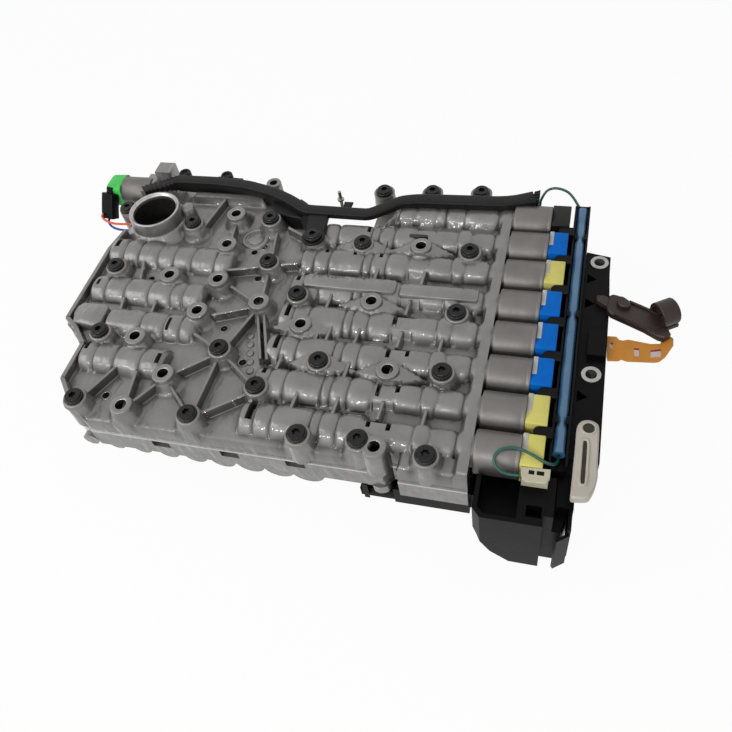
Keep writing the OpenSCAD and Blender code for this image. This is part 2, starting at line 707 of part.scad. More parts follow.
module unit_shape() {
    wall_y = unit_front + 2.6;
    block([4.5, body_front, 3], [rail_end, row_y(1) + 6, unit_h]);
    translate([0, row_y(2), 0]) rotate([90, 0, 0]) linear_extrude(row_y(2) - row_y(7.6)) polygon([
        [rail_x, 3.5], [rail_x, unit_h - 0.5], [strip_end - 8, unit_h - 0.5],
        [strip_end - 2, 14], [strip_end - 2, 3.5]
    ]);
    translate([0, 0, 3]) linear_extrude(unit_h - 3) polygon([
        [4.5, body_front + 1], [4.5, unit_front + 5], [9, unit_front], [41, unit_front], [41, unit_front + 6],
        [50.4, unit_front + 6], [54, body_front - 3], [54, body_front + 1]
    ]);
    translate([0, 0, unit_h - 1]) linear_extrude(apron_top - unit_h + 1) polygon([
        [4.5, body_front], [4.5, unit_front + 5], [9, unit_front], [41, unit_front], [41, unit_front + 6],
        [46, unit_front + 6], [46, gate_y], [pocket_x, gate_y], [pocket_x, wall_y], [10.2, wall_y],
        [7, unit_front + 6], [7, body_front]
    ]);
    bar([54.6, body_front - 1], [54.6, unit_front + 4], 1.8, 14, z_axis - 6.5);
    bar([54.6, unit_front + 4], [48.5, unit_front - 0.5], 1.8, 6, z_axis - 12);
    block([unit_left, foot_y + 2, 12], [6, row_y(1), foot_h - seat_gap]);
    translate([0, 0, unit_h - 4]) linear_extrude(strip_top - unit_h + 4) polygon([
        [strip_x, row_y(7.9)], [strip_end, row_y(7.9)], [strip_end, row_y(3.6)], [strip_end - 1, row_y(2.6)],
        [strip_end - 1, row_y(2.02)], [strip_x, row_y(1.9)]
    ]);
    block([strip_end - 11, row_y(5.25), strip_top - 1], [strip_end - 0.5, row_y(4.5), strip_top + 4]);
}

module control_unit() {
    color(black_plastic) difference() {
        unit_shape();
        for (k = bushing_rows) at([bushing_x, row_y(k)]) {
            cylinder(h = 80, d = bushing_d);
            translate([0, 0, unit_h - 6]) cylinder(h = 40, r = bushing_d / 2 + 2.4);
        }
        for (k = [2.8, 3.6, 6.3]) translate([strip_x + 1.5, row_y(k), strip_top - 5])
            linear_extrude(10) polygon([[0, -4], [0, 4], [6, 0]]);
        translate([0, body_front, 0]) rotate([90, 0, 0]) linear_extrude(60) polygon([
            [0, -2], [25, -2], [24.5, 3.5], [14.5, 13], [7, 28], [0, 36]
        ]);
        block([32, unit_front + 4.5, z_axis - 9], [40, unit_front + 11, z_axis + 9]);
        block([10, body_front + 4, 0], [base_end, row_y(1), 12]);
        for (p = hole_places) at(p, -1) cylinder(h = foot_h + 1, d = case_hole_d + 12);
    }
}

module unit_base_plate() {
    color([0.66, 0.66, 0.65]) {
        block(
            [10 + seat_gap, body_front + 4 + seat_gap, 2],
            [base_end - seat_gap, row_y(1) - seat_gap, 12 - seat_gap]
        );
        block([6, body_front + 2, 0], [base_end + 3, row_y(1) + 3, 3]);
    }
}

module unit_bushings() {
    color(bright_steel) for (k = bushing_rows) at([bushing_x, row_y(k)], unit_h - 6) difference() {
        cylinder(h = strip_top - unit_h + 6.8, r = bushing_d / 2 + 2.3);
        translate([0, 0, -1]) cylinder(h = 60, d = bushing_d);
    }
}

module seal_bracket() {
    hole = [strip_x + 9.4, row_y(7.09)];
    foot = row_y(8.86);
    color([0.83, 0.81, 0.76]) difference() {
        union() {
            translate([0, 0, strip_top + seat_gap]) linear_extrude(3) {
                at(hole) circle(6.2);
                polygon([
                    hole + [-6.2, 0], [strip_x + 3.2, foot], [strip_x + 8, foot], [strip_end - 0.6, foot + 8],
                    hole + [6.2, 0]
                ]);
            }
            block([strip_x + 5.6, foot + 4, strip_top + 2], [strip_x + 13, row_y(7.4), strip_top + 6.5]);
            block([strip_x + 3.2, foot, strip_top - 6], [strip_x + 8, foot + 2.4, strip_top + 3]);
        }
        at(hole, strip_top - 1) cylinder(h = 10, r = 3.3);
        block([strip_x + 8, foot + 6, strip_top + 3.4], [strip_x + 10.6, row_y(7.47), strip_top + 9]);
    }
}

arm_root = [strip_end - 6, row_y(3.5)];
arm_tip = [strip_end + 33, row_y(4.22)];
ring_turn = 32;
module sensor_arm() {
    base = strip_top + seat_gap;
    eye = [arm_tip[0] - 2, arm_tip[1] + 7, base + 7];
    color([0.20, 0.13, 0.11]) difference() {
        union() {
            bar(arm_root, arm_tip, 11, base, base + 4.5);
            bar(arm_root + [6, 1], arm_tip, 3, base + 4, base + 7.5);
            translate(eye) rotate([0, 90, ring_turn]) {
                cylinder(h = 10, r = 8, center = true);
                translate([2, -8, -5]) cube([4.8, 16, 10]);
            }
            bar(arm_tip - [6, -4], arm_tip + [2, -7], 10, base, base + 4);
            bar(arm_tip - [17, -8], arm_tip - [4, -2], 8, base - 4, base + 1);
        }
        translate(eye) rotate([0, 90, ring_turn]) {
            translate([0, 0, -5.2]) cylinder(h = 20, d = sensor_eye_d);
            translate([0, 0, -25]) cylinder(h = 20, d = sensor_eye_d + 2);
        }
    }
}

// Flat flexible foil between the unit's clamp and the arm, cut to its shape in plan
module sensor_foil() {
    x = strip_end;
    color([0.83, 0.59, 0.18]) translate([0, 0, strip_top - 0.6]) linear_extrude(0.6) polygon([
        [x + seat_gap, row_y(4.52)], [x + 5, row_y(4.5)], [x + 8, row_y(4.58)], [x + 24, row_y(4.6)],
        [x + 31, row_y(4.25)], [x + 37, row_y(4.32)], [x + 37, row_y(4.6)], [x + 28, row_y(5.08)],
        [x + 8, row_y(5.14)], [x + 5, row_y(5.22)], [x + seat_gap, row_y(5.24)]
    ]);
}

// Cable channel with its clip arm

module cable_channel() {
    clip = [clip_bolt[0], row_y(clip_bolt[1])];
    color(black_plastic) {
        difference() {
            union() {
                translate([0, 0, channel_z]) linear_extrude(channel_h) strip(channel_path, channel_w);
                bar([pin[0], notch_y + 8], pin + [0, 4], 8, channel_z, channel_z + tab_t);
                bar(clip, [clip[0], notch_y + 8], 8, z_seat, z_seat + 1.6);
                at(clip, z_seat) cylinder(h = 1.6, d = head_d + 3);
            }
            at(clip, z_seat - 1) cylinder(h = 9, r = bolt_hole_r);
            at(pin, channel_z - 1) cylinder(h = 9, r = pin_r + bore_clear);
        }
    }
}

// Lock solenoid with its cap, plug and leads

module lock_solenoid() {
    color([0.55, 0.54, 0.52]) translate([0, lock_y, lock_z]) turned_x([
        [0, lock_x - lock_len], [lock_r - 0.6, lock_x - lock_len], [lock_r, lock_x - lock_len + 0.6],
        [lock_r, lock_x - 2], [lock_r + 1.2, lock_x - 2], [lock_r + 1.2, lock_x], [6 - bore_clear, lock_x],
        [6 - bore_clear, lock_x + 8], [0, lock_x + 8]
    ]);
}

module lock_cap() {
    end = lock_x - lock_len;
    color([0.30, 0.80, 0.37]) translate([0, lock_y, lock_z]) turned_x([
        [0, end - lock_cap], [lock_r - 3, end - lock_cap], [lock_r - 0.4, end - lock_cap + 2.6],
        [lock_r - 0.4, end - 2], [lock_r - 1.4, end], [0, end]
    ]);
}

module lock_plug() {
    color(black_plastic) {
        top_y = lock_y - lock_r - seat_gap;
        block([lock_x - 36, lock_y - lock_r - 13, lock_z - 13], [lock_x - 25, top_y, lock_z + 1]);
        block([lock_x - 34, lock_y - lock_r - 9, lock_z + 0.9], [lock_x - 27, top_y, lock_z + 4]);
    }
}

module orange_lead() {
    color([0.95, 0.42, 0.23]) lead(orange_path);
}

module blue_lead() {
    color([0.10, 0.18, 0.61]) lead(blue_path);
}

// The part stands with its origin under its middle
module placed() {
    translate([-middle_x, -middle_y, 0]) children();
}

placed() upper_housing();
placed() separator_plate();
placed() lower_housing();
placed() housing_bolts();
placed() rear_bolts();
placed() dowel_pin();
placed() valve_retainers();
placed() stop_plates();
placed() shift_plugs();
placed() main_springs();
placed() shift_springs();
for (k = main_rows) placed() main_spool(k);
for (i = [1:4]) placed() shift_spool(i);
for (k = [1:8]) placed() solenoid(k);
for (k = [1:8]) placed() solenoid_cap(k);
placed() solenoid_screws();
placed() wiring_rail();
placed() lead_conduit();
placed() green_lead_lower();
placed() green_lead_upper();
placed() lead_plug();
placed() control_unit();
placed() unit_base_plate();
placed() unit_bushings();
placed() seal_bracket();
placed() sensor_arm();
placed() sensor_foil();
placed() cable_channel();
placed() lock_solenoid();
placed() lock_cap();
placed() lock_plug();
placed() orange_lead();
placed() blue_lead();
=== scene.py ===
import bmesh
import bpy
import numpy as np
from mathutils import Matrix


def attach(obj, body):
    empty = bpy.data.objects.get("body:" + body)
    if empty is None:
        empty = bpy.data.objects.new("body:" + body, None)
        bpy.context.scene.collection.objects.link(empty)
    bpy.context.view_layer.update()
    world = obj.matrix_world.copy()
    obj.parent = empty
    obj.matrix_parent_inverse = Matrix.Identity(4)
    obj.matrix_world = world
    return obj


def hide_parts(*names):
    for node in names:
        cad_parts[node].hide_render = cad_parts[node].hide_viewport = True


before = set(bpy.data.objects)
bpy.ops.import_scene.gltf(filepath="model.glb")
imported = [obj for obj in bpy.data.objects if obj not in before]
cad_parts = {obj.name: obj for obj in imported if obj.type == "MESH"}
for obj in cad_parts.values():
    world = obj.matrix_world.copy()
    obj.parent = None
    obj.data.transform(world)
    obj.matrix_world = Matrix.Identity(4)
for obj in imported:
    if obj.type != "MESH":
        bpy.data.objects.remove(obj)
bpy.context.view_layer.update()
scene = bpy.context.scene

# Camera: a phone held over the bench, in front of the part and a little to its right.
# Its place and turn were fitted to the bolts, the solenoids and the edges of the housings.
turn, dip, roll = np.radians([23.9695, 52.3485, -12.9566])
phone_place = [0.1491, -0.2877, 0.4059]
ahead = np.array([-np.sin(turn) * np.cos(dip), np.cos(turn) * np.cos(dip), -np.sin(dip)])
level = np.array([np.cos(turn), np.sin(turn), 0.0])
above = np.cross(level, ahead)
to_right = np.cos(roll) * level + np.sin(roll) * above
upwards = np.cos(roll) * above - np.sin(roll) * level
lens = bpy.data.cameras.new("phone_camera")
lens.sensor_width = 36.0
lens.lens = 35.747
phone = bpy.data.objects.new("phone_camera", lens)
pose = np.eye(4)
pose[:3, :3] = np.column_stack([to_right, upwards, -ahead])
pose[:3, 3] = phone_place
phone.matrix_world = Matrix(pose.tolist())
scene.collection.objects.link(phone)
scene.camera = phone

# Thin leads: green ones leave both ends of the blue tube, an orange and a blue one leave the plug of the
# lock solenoid. Each is a stranded wire with a smooth coloured sleeve, held only by its two ends.
ORIGIN = np.array([111.5, 3.0, 0.0])
row_pitch = 26.0
lead_d = 1.8


def row_y(k):
    """Y of valve row k, counted from the back: rows stand one pitch apart about the middle."""
    return (4.5 - k) * row_pitch


def add_node(tree, kind, **inputs):
    """New node of a shader tree with its inputs set, an underscore for each space in an input's name."""
    node = tree.nodes.new("ShaderNode" + kind)
    for name, value in inputs.items():
        node.inputs[name.replace("_", " ")].default_value = value
    return node


def grained(name, light, dark, grain, rough, bump, metal=0.0, coat=0.0, shine=0.5):
    """Finish whose colour drifts between two tones over a coarse noise, while a noise seven times as dense
    moves its roughness by a spread and raises its grain by bump millimetres."""
    spread = 0.1
    made = bpy.data.materials.new(name)
    made.use_nodes = True
    tree = made.node_tree
    shader = tree.nodes["Principled BSDF"]
    place = add_node(tree, "TexCoord")
    drift = add_node(tree, "TexNoise", Scale=grain, Detail=4.0)
    fine = add_node(tree, "TexNoise", Scale=grain * 7, Detail=3.0)
    tones = add_node(tree, "ValToRGB")
    for stop, at, tone in zip(tones.color_ramp.elements, (0.3, 0.7), (dark, light)):
        stop.position = at
        stop.color = (*tone, 1)
    dull = add_node(tree, "MapRange", To_Min=max(rough - spread, 0.03), To_Max=min(rough + spread, 1.0))
    relief = add_node(tree, "Bump", Strength=1.0, Distance=bump / 1000)
    link = tree.links.new
    link(place.outputs["Object"], drift.inputs["Vector"])
    link(place.outputs["Object"], fine.inputs["Vector"])
    link(drift.outputs["Fac"], tones.inputs["Fac"])
    link(tones.outputs["Color"], shader.inputs["Base Color"])
    link(fine.outputs["Fac"], dull.inputs["Value"])
    link(dull.outputs["Result"], shader.inputs["Roughness"])
    link(fine.outputs["Fac"], relief.inputs["Height"])
    link(relief.outputs["Normal"], shader.inputs["Normal"])
    shader.inputs["Metallic"].default_value = metal
    shader.inputs["Specular IOR Level"].default_value = shine
    shader.inputs["Coat Weight"].default_value = coat
    shader.inputs["Coat Roughness"].default_value = 0.06
    return made


def add_piece(name, shape, finishes, slot, nodes=(), which=None, sharp=40, marks=None):
    """Mesh of a shape, which is points in millimetres and faces, put into the part's frame in metres, with
    the seams and poles welded and the faces turned outwards, riding on the body. A finish is picked for every
    face by which, edges past the angle sharp, in degrees, stay sharp, and marks are values of the points."""
    points, faces = shape
    mesh = bpy.data.meshes.new(name)
    placed = (np.asarray(points, float) + ORIGIN) / 1000
    mesh.from_pydata(placed.tolist(), [], [list(map(int, f)) for f in faces])
    for finish in finishes:
        mesh.materials.append(finish)
    if which is not None:
        mesh.polygons.foreach_set("material_index", np.asarray(which, np.int32))
    for mark, values in (marks or {}).items():
        mesh.attributes.new(mark, "FLOAT", "POINT").data.foreach_set("value", np.asarray(values, np.float32))
    shell = bmesh.new()
    shell.from_mesh(mesh)
    bmesh.ops.remove_doubles(shell, verts=shell.verts, dist=3e-5)
    bmesh.ops.recalc_face_normals(shell, faces=shell.faces)
    shell.to_mesh(mesh)
    shell.free()
    mesh.polygons.foreach_set("use_smooth", np.ones(len(mesh.polygons), bool))
    mesh.set_sharp_from_angle(angle=np.radians(sharp))
    mesh.update()
    piece = bpy.data.objects.new(name, mesh)
    scene.collection.objects.link(piece)
    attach(piece, "body")
    if nodes:
        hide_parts(*nodes)
    return piece


def route_through(stops, steps):
    """Smooth route: between two stops each coordinate is a cubic that leaves and arrives along the
    line between the neighbouring stops."""
    stops = np.asarray(stops, float)
    padded = np.vstack([stops[:1], stops, stops[-1:]])
    a, b, c, d = padded[:-3, None], padded[1:-2, None], padded[2:-1, None], padded[3:, None]
    t = (np.arange(steps) / steps)[None, :, None]
    spans = 0.5 * (2 * b + (c - a) * t + (2 * a - 5 * b + 4 * c - d) * t**2 + (3 * b - a - 3 * c + d) * t**3)
    return np.vstack([spans.reshape(-1, 3), stops[-1:]])


def wall_faces(stations, ring):
    """Quads between neighbouring closed rings, which have ring points each."""
    i = np.arange(stations - 1)[:, None] * ring
    j = np.arange(ring)[None, :]
    k = (j + 1) % ring
    return np.stack([i + j, i + k, i + ring + k, i + ring + j], -1).reshape(-1, 4).tolist()


def capped_faces(stations, ring):
    """The quads of a wall, with one face over each of its ends."""
    last = (stations - 1) * ring
    return wall_faces(stations, ring) + [list(range(ring))[::-1], list(range(last, last + ring))]


def unit(vectors):
    """Vectors, one in each row, divided by their lengths."""
    return vectors / np.linalg.norm(vectors, axis=1)[:, None]


def carried(path, ring):
    """A flat ring of (sideways, upwards) points carried along a path and kept square to it."""
    run = unit(np.gradient(path, axis=0))
    side = unit(np.cross(run, [0.0, 0.0, 1.0]))
    up = np.cross(side, run)
    ring = np.asarray(ring, float)
    points = path[:, None] + ring[None, :, :1] * side[:, None] + ring[None, :, 1:] * up[:, None]
    return points.reshape(-1, 3), capped_faces(len(path), len(ring))


around = np.linspace(0, 2 * np.pi, 12, endpoint=False)
sleeve_ring = lead_d / 2 * np.column_stack([np.cos(around), np.sin(around)])
conduit_x, conduit_z = 45.4, 55.0
tube_low = np.array([conduit_x, row_y(8) + 3, conduit_z])
tube_high = np.array([conduit_x, row_y(1) + 13, conduit_z])
lock_axis = np.array([-291.0, 108.0, 49.0])
green_sleeve = grained("green_sleeve", (0.005, 0.11, 0.078), (0.003, 0.07, 0.05), 400, 0.35, 0.01, coat=0.2)
orange_sleeve = grained("orange_sleeve", (0.90, 0.15, 0.04), (0.72, 0.10, 0.03), 400, 0.4, 0.01)
blue_sleeve = grained("blue_sleeve", (0.010, 0.035, 0.36), (0.008, 0.02, 0.24), 400, 0.4, 0.01)
# slot, sleeve and the stops of each route
leads = {
    "green_lead_lower": ("green_lead", green_sleeve, tube_low + [
        [0, -0.5, 0], [0, -3, 0.6], [-1.2, -6.5, 2.9], [-3.4, -8.8, 5.9], [-6.6, -9.6, 8.7],
        [-13, -7.4, 10.5], [-20, -5.6, 11.9], [-26, -6.2, 12.7], [-30.6, -9, 12.5], [-32.4, -13, 10.9],
        [-30.4, -16.6, 8.1], [-25.6, -18, 5.9], [-18, -17.4, 4.9]]),
    "green_lead_upper": ("green_lead", green_sleeve, tube_high + [
        [0, 0.5, 0], [-2.5, 4.3, 1], [-8, 10.6, 5], [-13, 12.5, 8], [-19.9, 13.3, 9], [-25.2, 12.5, 7],
        [-28.4, 9.6, 2], [-29, 8.9, -3], [-29.2, 7, -8], [-29.5, 2.5, -12.6], [-29.8, -3, -15],
        [-30, -8, -15.7]]),
    "orange_lead": ("orange_lead", orange_sleeve, lock_axis + [
        [-34, -23.4, -4.5], [-33.2, -27, -5.5], [-28, -30, -6.5], [-21, -31.5, -7], [-14, -31, -7.5],
        [-7, -29.4, -8.4], [0.1, -27.8, -9]]),
    "blue_lead": ("blue_lead", blue_sleeve, lock_axis + [
        [-30, -23.4, -9], [-29.2, -27.5, -10], [-25, -31, -11], [-19, -33, -11.5], [-12, -33, -12],
        [-6, -32, -12.5], [0.1, -30.8, -13]]),
}
steps_each = 6
for lead_name, (lead_slot, sleeve, stops) in leads.items():
    route = route_through(stops, steps_each)
    lead = add_piece(lead_name + "_sleeve", carried(route, sleeve_ring), [sleeve], lead_slot, [lead_name])
    line = (route + ORIGIN) / 1000

# Lower housing and separator plate: an aluminium die casting with ducts bulging from its underside, and a
# rolled steel sheet clamped on top of it. The casting has a satin skin, the sheet a bright cut edge.
cast_skin = grained(
    "cast_skin", (0.215, 0.211, 0.205), (0.165, 0.162, 0.158), 60, 0.52, 0.05, metal=0.9, coat=1.0)
machined = grained("machined_face", (0.50, 0.49, 0.48), (0.38, 0.375, 0.37), 260, 0.30, 0.01, metal=0.9)
sheet_steel = grained("sheet_steel", (0.55, 0.55, 0.54), (0.45, 0.45, 0.44), 150, 0.34, 0.01, metal=0.8)
# a near-black finish that is painted shade: it darkens slots, bores and deep recesses of the casting, where
# shade falls
recess_shade = grained("painted_recess_shade", (0.022, 0.021, 0.020), (0.012, 0.012, 0.011), 200, 0.3, 0.02, shine=0.4)

# painted shade: the casting's tone is darkened in hollows, by the share that the piece carries for every
# point
tree = cast_skin.node_tree
shader = tree.nodes["Principled BSDF"]
shade_lookup = add_node(tree, "Attribute")
shade_lookup.attribute_name = "painted_shade"
painted_shade_mix = add_node(tree, "Mix")
painted_shade_mix.data_type = "RGBA"
painted_shade_mix.blend_type = "MULTIPLY"
painted_shade_mix.inputs["B"].default_value = (0.22, 0.216, 0.212, 1)
tones = shader.inputs["Base Color"].links[0].from_socket
tree.links.new(shade_lookup.outputs["Fac"], painted_shade_mix.inputs["Factor"])
tree.links.new(tones, painted_shade_mix.inputs["A"])
tree.links.new(painted_shade_mix.outputs["Result"], shader.inputs["Base Color"])

# a film of oil lies on it, uneven over a few millimetres, so small lamps break into many glints
oil = add_node(tree, "TexNoise", Scale=230, Detail=1.0)
drawn = add_node(tree, "Mapping", Scale=(1, 0.4, 0.4))
waves = add_node(tree, "Bump", Strength=1.0, Distance=0.0012)
tree.links.new(tree.nodes["Texture Coordinate"].outputs["Object"], drawn.inputs["Vector"])
tree.links.new(drawn.outputs["Vector"], oil.inputs["Vector"])
tree.links.new(oil.outputs["Fac"], waves.inputs["Height"])
tree.links.new(waves.outputs["Normal"], shader.inputs["Coat Normal"])


def dress(finish, *nodes):
    """Gives CAD nodes a finish in place of their flat colour."""
    for node in nodes:
        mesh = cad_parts[node].data
        mesh.materials.clear()
        mesh.materials.append(finish)


dress(cast_skin, "lower_housing")
dress(sheet_steel, "separator_plate")

# Upper housing: an aluminium die casting. Barrels with gallery rings cover the valve bores, ribs join the
# bosses of a web between them, and the tops of the bosses and the rim of the round port are machined.
left_x = -288.0
z_split, z_floor, z_seat, z_rim = 44.0, 55.4, 65.0, 72.0
front_y, foot_y = row_y(8) - 16.5, row_y(8) - 20
back_y, shelf_y, ledge_y, notch_y = row_y(1) + 13, row_y(1) + 1, row_y(1) + 9, row_y(2) + 6
left_bolts = [[36, 6.29], [44, 8.29], [20, 4.05], [61, 2.21]]
flange_bolts = [
    [-165, 6.40], [-166.5, 8.32], [-99, 6.44], [-132, 7.34], [-97, 8.44], [-23, 8.52], [-24, 6.38],
    [-23, 4.63], [-128, 4.48], [-157, 3.46], [-23, 2.59], [-169, 1.86], [-96, 2.55], [-62, 8.36],
    [-132, 2.48]]
left_holes = [[62.5, 6.32], [77, 8.32], [64, 4.21]]
flange_holes = [
    [-194, 7.32], [-118.5, 5.42], [-56, 6.48], [-152, 4.84], [-56, 2.51], [-78, 4.5], [-187.5, 4.21],
    [-191.5, 5.32], [-193, 2.94], [-197, 1.75], [-52, 8.48]]
winged = [[-118.5, 5.42], [-56, 6.48], [-56, 2.51], [-78, 4.5], [-99, 6.44], [-96, 2.55]]


def places(left, right):
    """Places in plan of [x, row] pairs, the first list measured from the left edge."""
    return np.array([[left_x + x, row_y(k)] for x, k in left] + [[x, row_y(k)] for x, k in right])


bolt_places = places(left_bolts, flange_bolts)
hole_places = places(left_holes, flange_holes)
port = np.array([left_x + 29.3, row_y(2.03)])
plug_boss, post, lug = [-179, row_y(2.32)], [left_x + 51, row_y(1.67)], [-182, 111.7]
drills = [
    [-173, -26.7], [-151, -51.8], [-231.2, -88.5], [-243.3, 10.4], [-169.9, 49.6], [-175.7, 43.5],
    [-164.6, 19.3]]
dots = [[-152.8 + 2.18 * i, -30.5 - 6.75 * i] for i in range(5)]

# outline of the casting in plan, and the breaks between the bulges of its rows
front_line = np.array([
    [left_x, row_y(5.88)], [left_x + 10, row_y(6.19)], [left_x + 21.9, row_y(6.62)],
    [left_x + 22, row_y(7.73)], [left_x + 40, front_y + 4.5], [left_x + 51, front_y], [-49, front_y],
    [-44, front_y + 6], [-39.1, front_y + 6], [-39, foot_y], [0, foot_y]])
back_line = np.array([
    [left_x, row_y(3.27)], [left_x + 3.9, row_y(2.5)], [left_x + 4, row_y(1.6)], [left_x + 18, shelf_y],
    [left_x + 36, shelf_y], [left_x + 42, ledge_y], [-178, ledge_y], [-156, notch_y], [-92, notch_y],
    [-80, back_y], [0, back_y]])
main_rows = range(2, 9)
row_breaks = [-136.5, -127.2, -116.8, -92.9, -87.4, -77, -62.2]
end_breaks = [-49, -33, -24.3, -9, 0]
collar_breaks = [-33, -24.3]
first_breaks = [-79, -66, -51, -45, -31, -9, 0]
# row, lean along X, half width and breaks from the left edge
shift_rows = [
    [3.2, -0.044, 12.6, [5, 17, 29.5, 45, 58, 72, 90, 101]],
    [4.62, 0.0, 11.6, [8, 19, 34.4, 52.6, 69.5, 78.6, 92]],
    [5.7, 0.0, 11.6, [33, 59, 76, 88, 97]],
    [6.84, 0.0, 11.6, [28, 38.5, 53.6, 72.2, 87]]]
breaks_x = np.concatenate([row_breaks, end_breaks[:-1], *[left_x + np.array(row[-1]) for row in shift_rows]])

# slots over the bores: middle in plan, then the size along X and Y
slots = [
    [-136.3, 42.9, 2.6, 4.2], [-119.7, 43.8, 2.6, 4.4], [-99.5, 43.4, 2.6, 4.4], [-81.3, 42.8, 2.6, 4.4],
    [-132.3, 16.7, 2.8, 5], [-131, -11.1, 3.2, 11], [-130.4, -37, 3.2, 12], [-131.2, -60, 2.6, 5],
    [-130.5, -88.5, 3.6, 14], [-60, 12.1, 2.8, 8.6], [-60.4, -12.3, 2.8, 8], [-59.2, -37, 2.6, 6],
    [-58.9, -63.9, 2.8, 9], [-59.6, -86.8, 2.6, 5.4], [-47.4, -36, 2.6, 5], [-47.5, -62.3, 2.6, 5],
    [-47.5, -88.3, 2.6, 5], [-95.3, 67.3, 2.4, 7],
    [left_x + 9.5, 36.3, 3.4, 8], [left_x + 12.2, -2.5, 2.2, 5], [left_x + 32.3, -29.5, 2.8, 6],
    [left_x + 79.6, -32.6, 2.4, 10], [left_x + 30.9, -56.4, 3, 7], [left_x + 84.4, -60.8, 3, 8]]
slot_lip, slot_floor, wall_slope = 0.25, 51.0, 60
grid_step = 1.35


def grid_lines(first, last, kept, wished):
    """Sorted places from first to last: the kept lines, then the wished ones with no line nearer than a
    fifth of a millimetre, then even steps with none nearer than half a millimetre."""
    lines = list(kept)
    for place in [*wished, *np.arange(first, last, grid_step)]:
        least = 0.2 if place in wished else 0.5
        if first <= place <= last and np.abs(np.array(lines) - place).min() > least:
            lines.append(place)
    return np.unique(np.round(lines, 2))


def slot_edges(middle, size):
    """Both edges of every slot, and the lines one lip inside them."""
    sizes = (size, size - 2 * slot_lip)
    return np.concatenate([middle + share * width for width in sizes for share in (-0.5, 0.5)])


slot_x, slot_y, slot_w, slot_h = np.array(slots).T
outline_x = np.concatenate([front_line[:, 0], back_line[:, 0]])
break_lines = [breaks_x + beside for beside in (0, -0.6, 0.6)]
wished_x = set(np.concatenate([slot_edges(slot_x, slot_w), *break_lines]).tolist())
stations = grid_lines(left_x, -0.0, outline_x, wished_x)
lanes = grid_lines(foot_y, back_y, [foot_y, back_y], set(slot_edges(slot_y, slot_h).tolist()))
start = np.interp(stations, front_line[:, 0], front_line[:, 1])
stop = np.interp(stations, back_line[:, 0], back_line[:, 1])
across = np.clip(lanes[None, :], start[:, None], stop[:, None])
along = np.repeat(stations[:, None], len(lanes), axis=1)


def soft_top(a, b, blend):
    """The higher of two heights, with a fillet that is blend millimetres wide in height."""
    share = np.clip(0.5 + 0.5 * (a - b) / blend, 0, 1)
    return b + (a - b) * share + blend * share * (1 - share)


def soft_low(a, b, blend):
    """The lower of two heights, with the same fillet."""
    return -soft_top(-a, -b, blend)


def barrel(y0, breaks, half=11.6, top=63.7, power=2.3):
    """Height of a row of bulges along X. At every break the ridge dips by a narrow groove and a wide
    shoulder; across, it falls with a power of the share of its half width. Its crest is planed flat."""
    near = np.abs(along[..., None] - np.asarray(breaks)).min(-1)
    groove, shoulder = np.exp(-((near / 0.7) ** 2)), np.exp(-((near / 3.0) ** 2))
    dip = 1.2 * groove + 0.5 * shoulder
    beyond = np.maximum(breaks[0] - along, 0) + np.maximum(along - breaks[-1], 0)
    share = 1 - (np.abs(across - y0) / (half - dip)) ** power
    ridge = z_floor + (top - dip - z_floor) * np.sign(share) * np.abs(share) ** 0.62
    planed = 63.3
    return soft_low(ridge, planed, 0.8) - 1.5 * beyond - beyond**2


def boss(place, radius, top, slope):
    """Height of a round boss: flat inside its radius and falling by its slope outside it."""
    gap = np.hypot(along - place[0], across - place[1]) - radius
    return top - slope * np.maximum(gap, 0)


def slab(x0, x1, y0, y1, top, slope=4.0):
    """Height of a flat pad: its top inside the rectangle, falling steeply with the distance from it."""
    gap_x = np.maximum(np.maximum(x0 - along, along - x1), 0)
    gap_y = np.maximum(np.maximum(y0 - across, across - y1), 0)
    return top - slope * np.hypot(gap_x, gap_y)


# everything that stands up from the floor of the casting
skin = np.full_like(along, z_floor)
for y in map(row_y, main_rows):
    skin = soft_top(barrel(y, row_breaks), skin, 2.4)
    skin = soft_top(slab(-63, -48, y - 5, y + 5, 61.6, 1.6), skin, 2.0)
    skin = soft_top(barrel(y, end_breaks, 9.4, 63.0, 3.2), skin, 2.0)
    skin = soft_top(barrel(y, collar_breaks, 10.4, 64.2, 3.2), skin, 0.8)
skin = soft_top(barrel(row_y(1), first_breaks, 10.4, 63.2, 2.6), skin, 2.4)
for k, lean, half, breaks in shift_rows:
    skin = soft_top(barrel(row_y(k) + lean * (along - left_x), [left_x + x for x in breaks], half), skin, 2.6)
pads = [
    [-6.4, 0, foot_y, row_y(1) + 9.5, 62.4], [-38, 0, foot_y, row_y(8) - 9, 58],
    [left_x + 46, -184, ledge_y - 8.5, ledge_y - 2, 61.4]]
for pad in pads:
    skin = soft_top(slab(*pad), skin, 1.4)
for place in bolt_places:
    skin = soft_top(boss(place, 6.8, z_seat - 0.5, 2.6), skin, 2.2)
for place in hole_places:
    skin = soft_top(boss(place, 6.4, z_seat + 0.3, 2.6), skin, 2.2)
# a wing beside a boss sinks and narrows with its reach along X
for x, y in places([], winged):
    reach = np.maximum(np.abs(along - x) - 4, 0)
    wing = z_seat - 0.6 - 0.3 * reach - 3 * np.maximum(np.abs(across - y) - 6.2 + 0.33 * reach, 0)
    skin = soft_top(wing, skin, 0.8)
skin = soft_top(boss(port, 20.0, 62, 1.6), skin, 4.0)

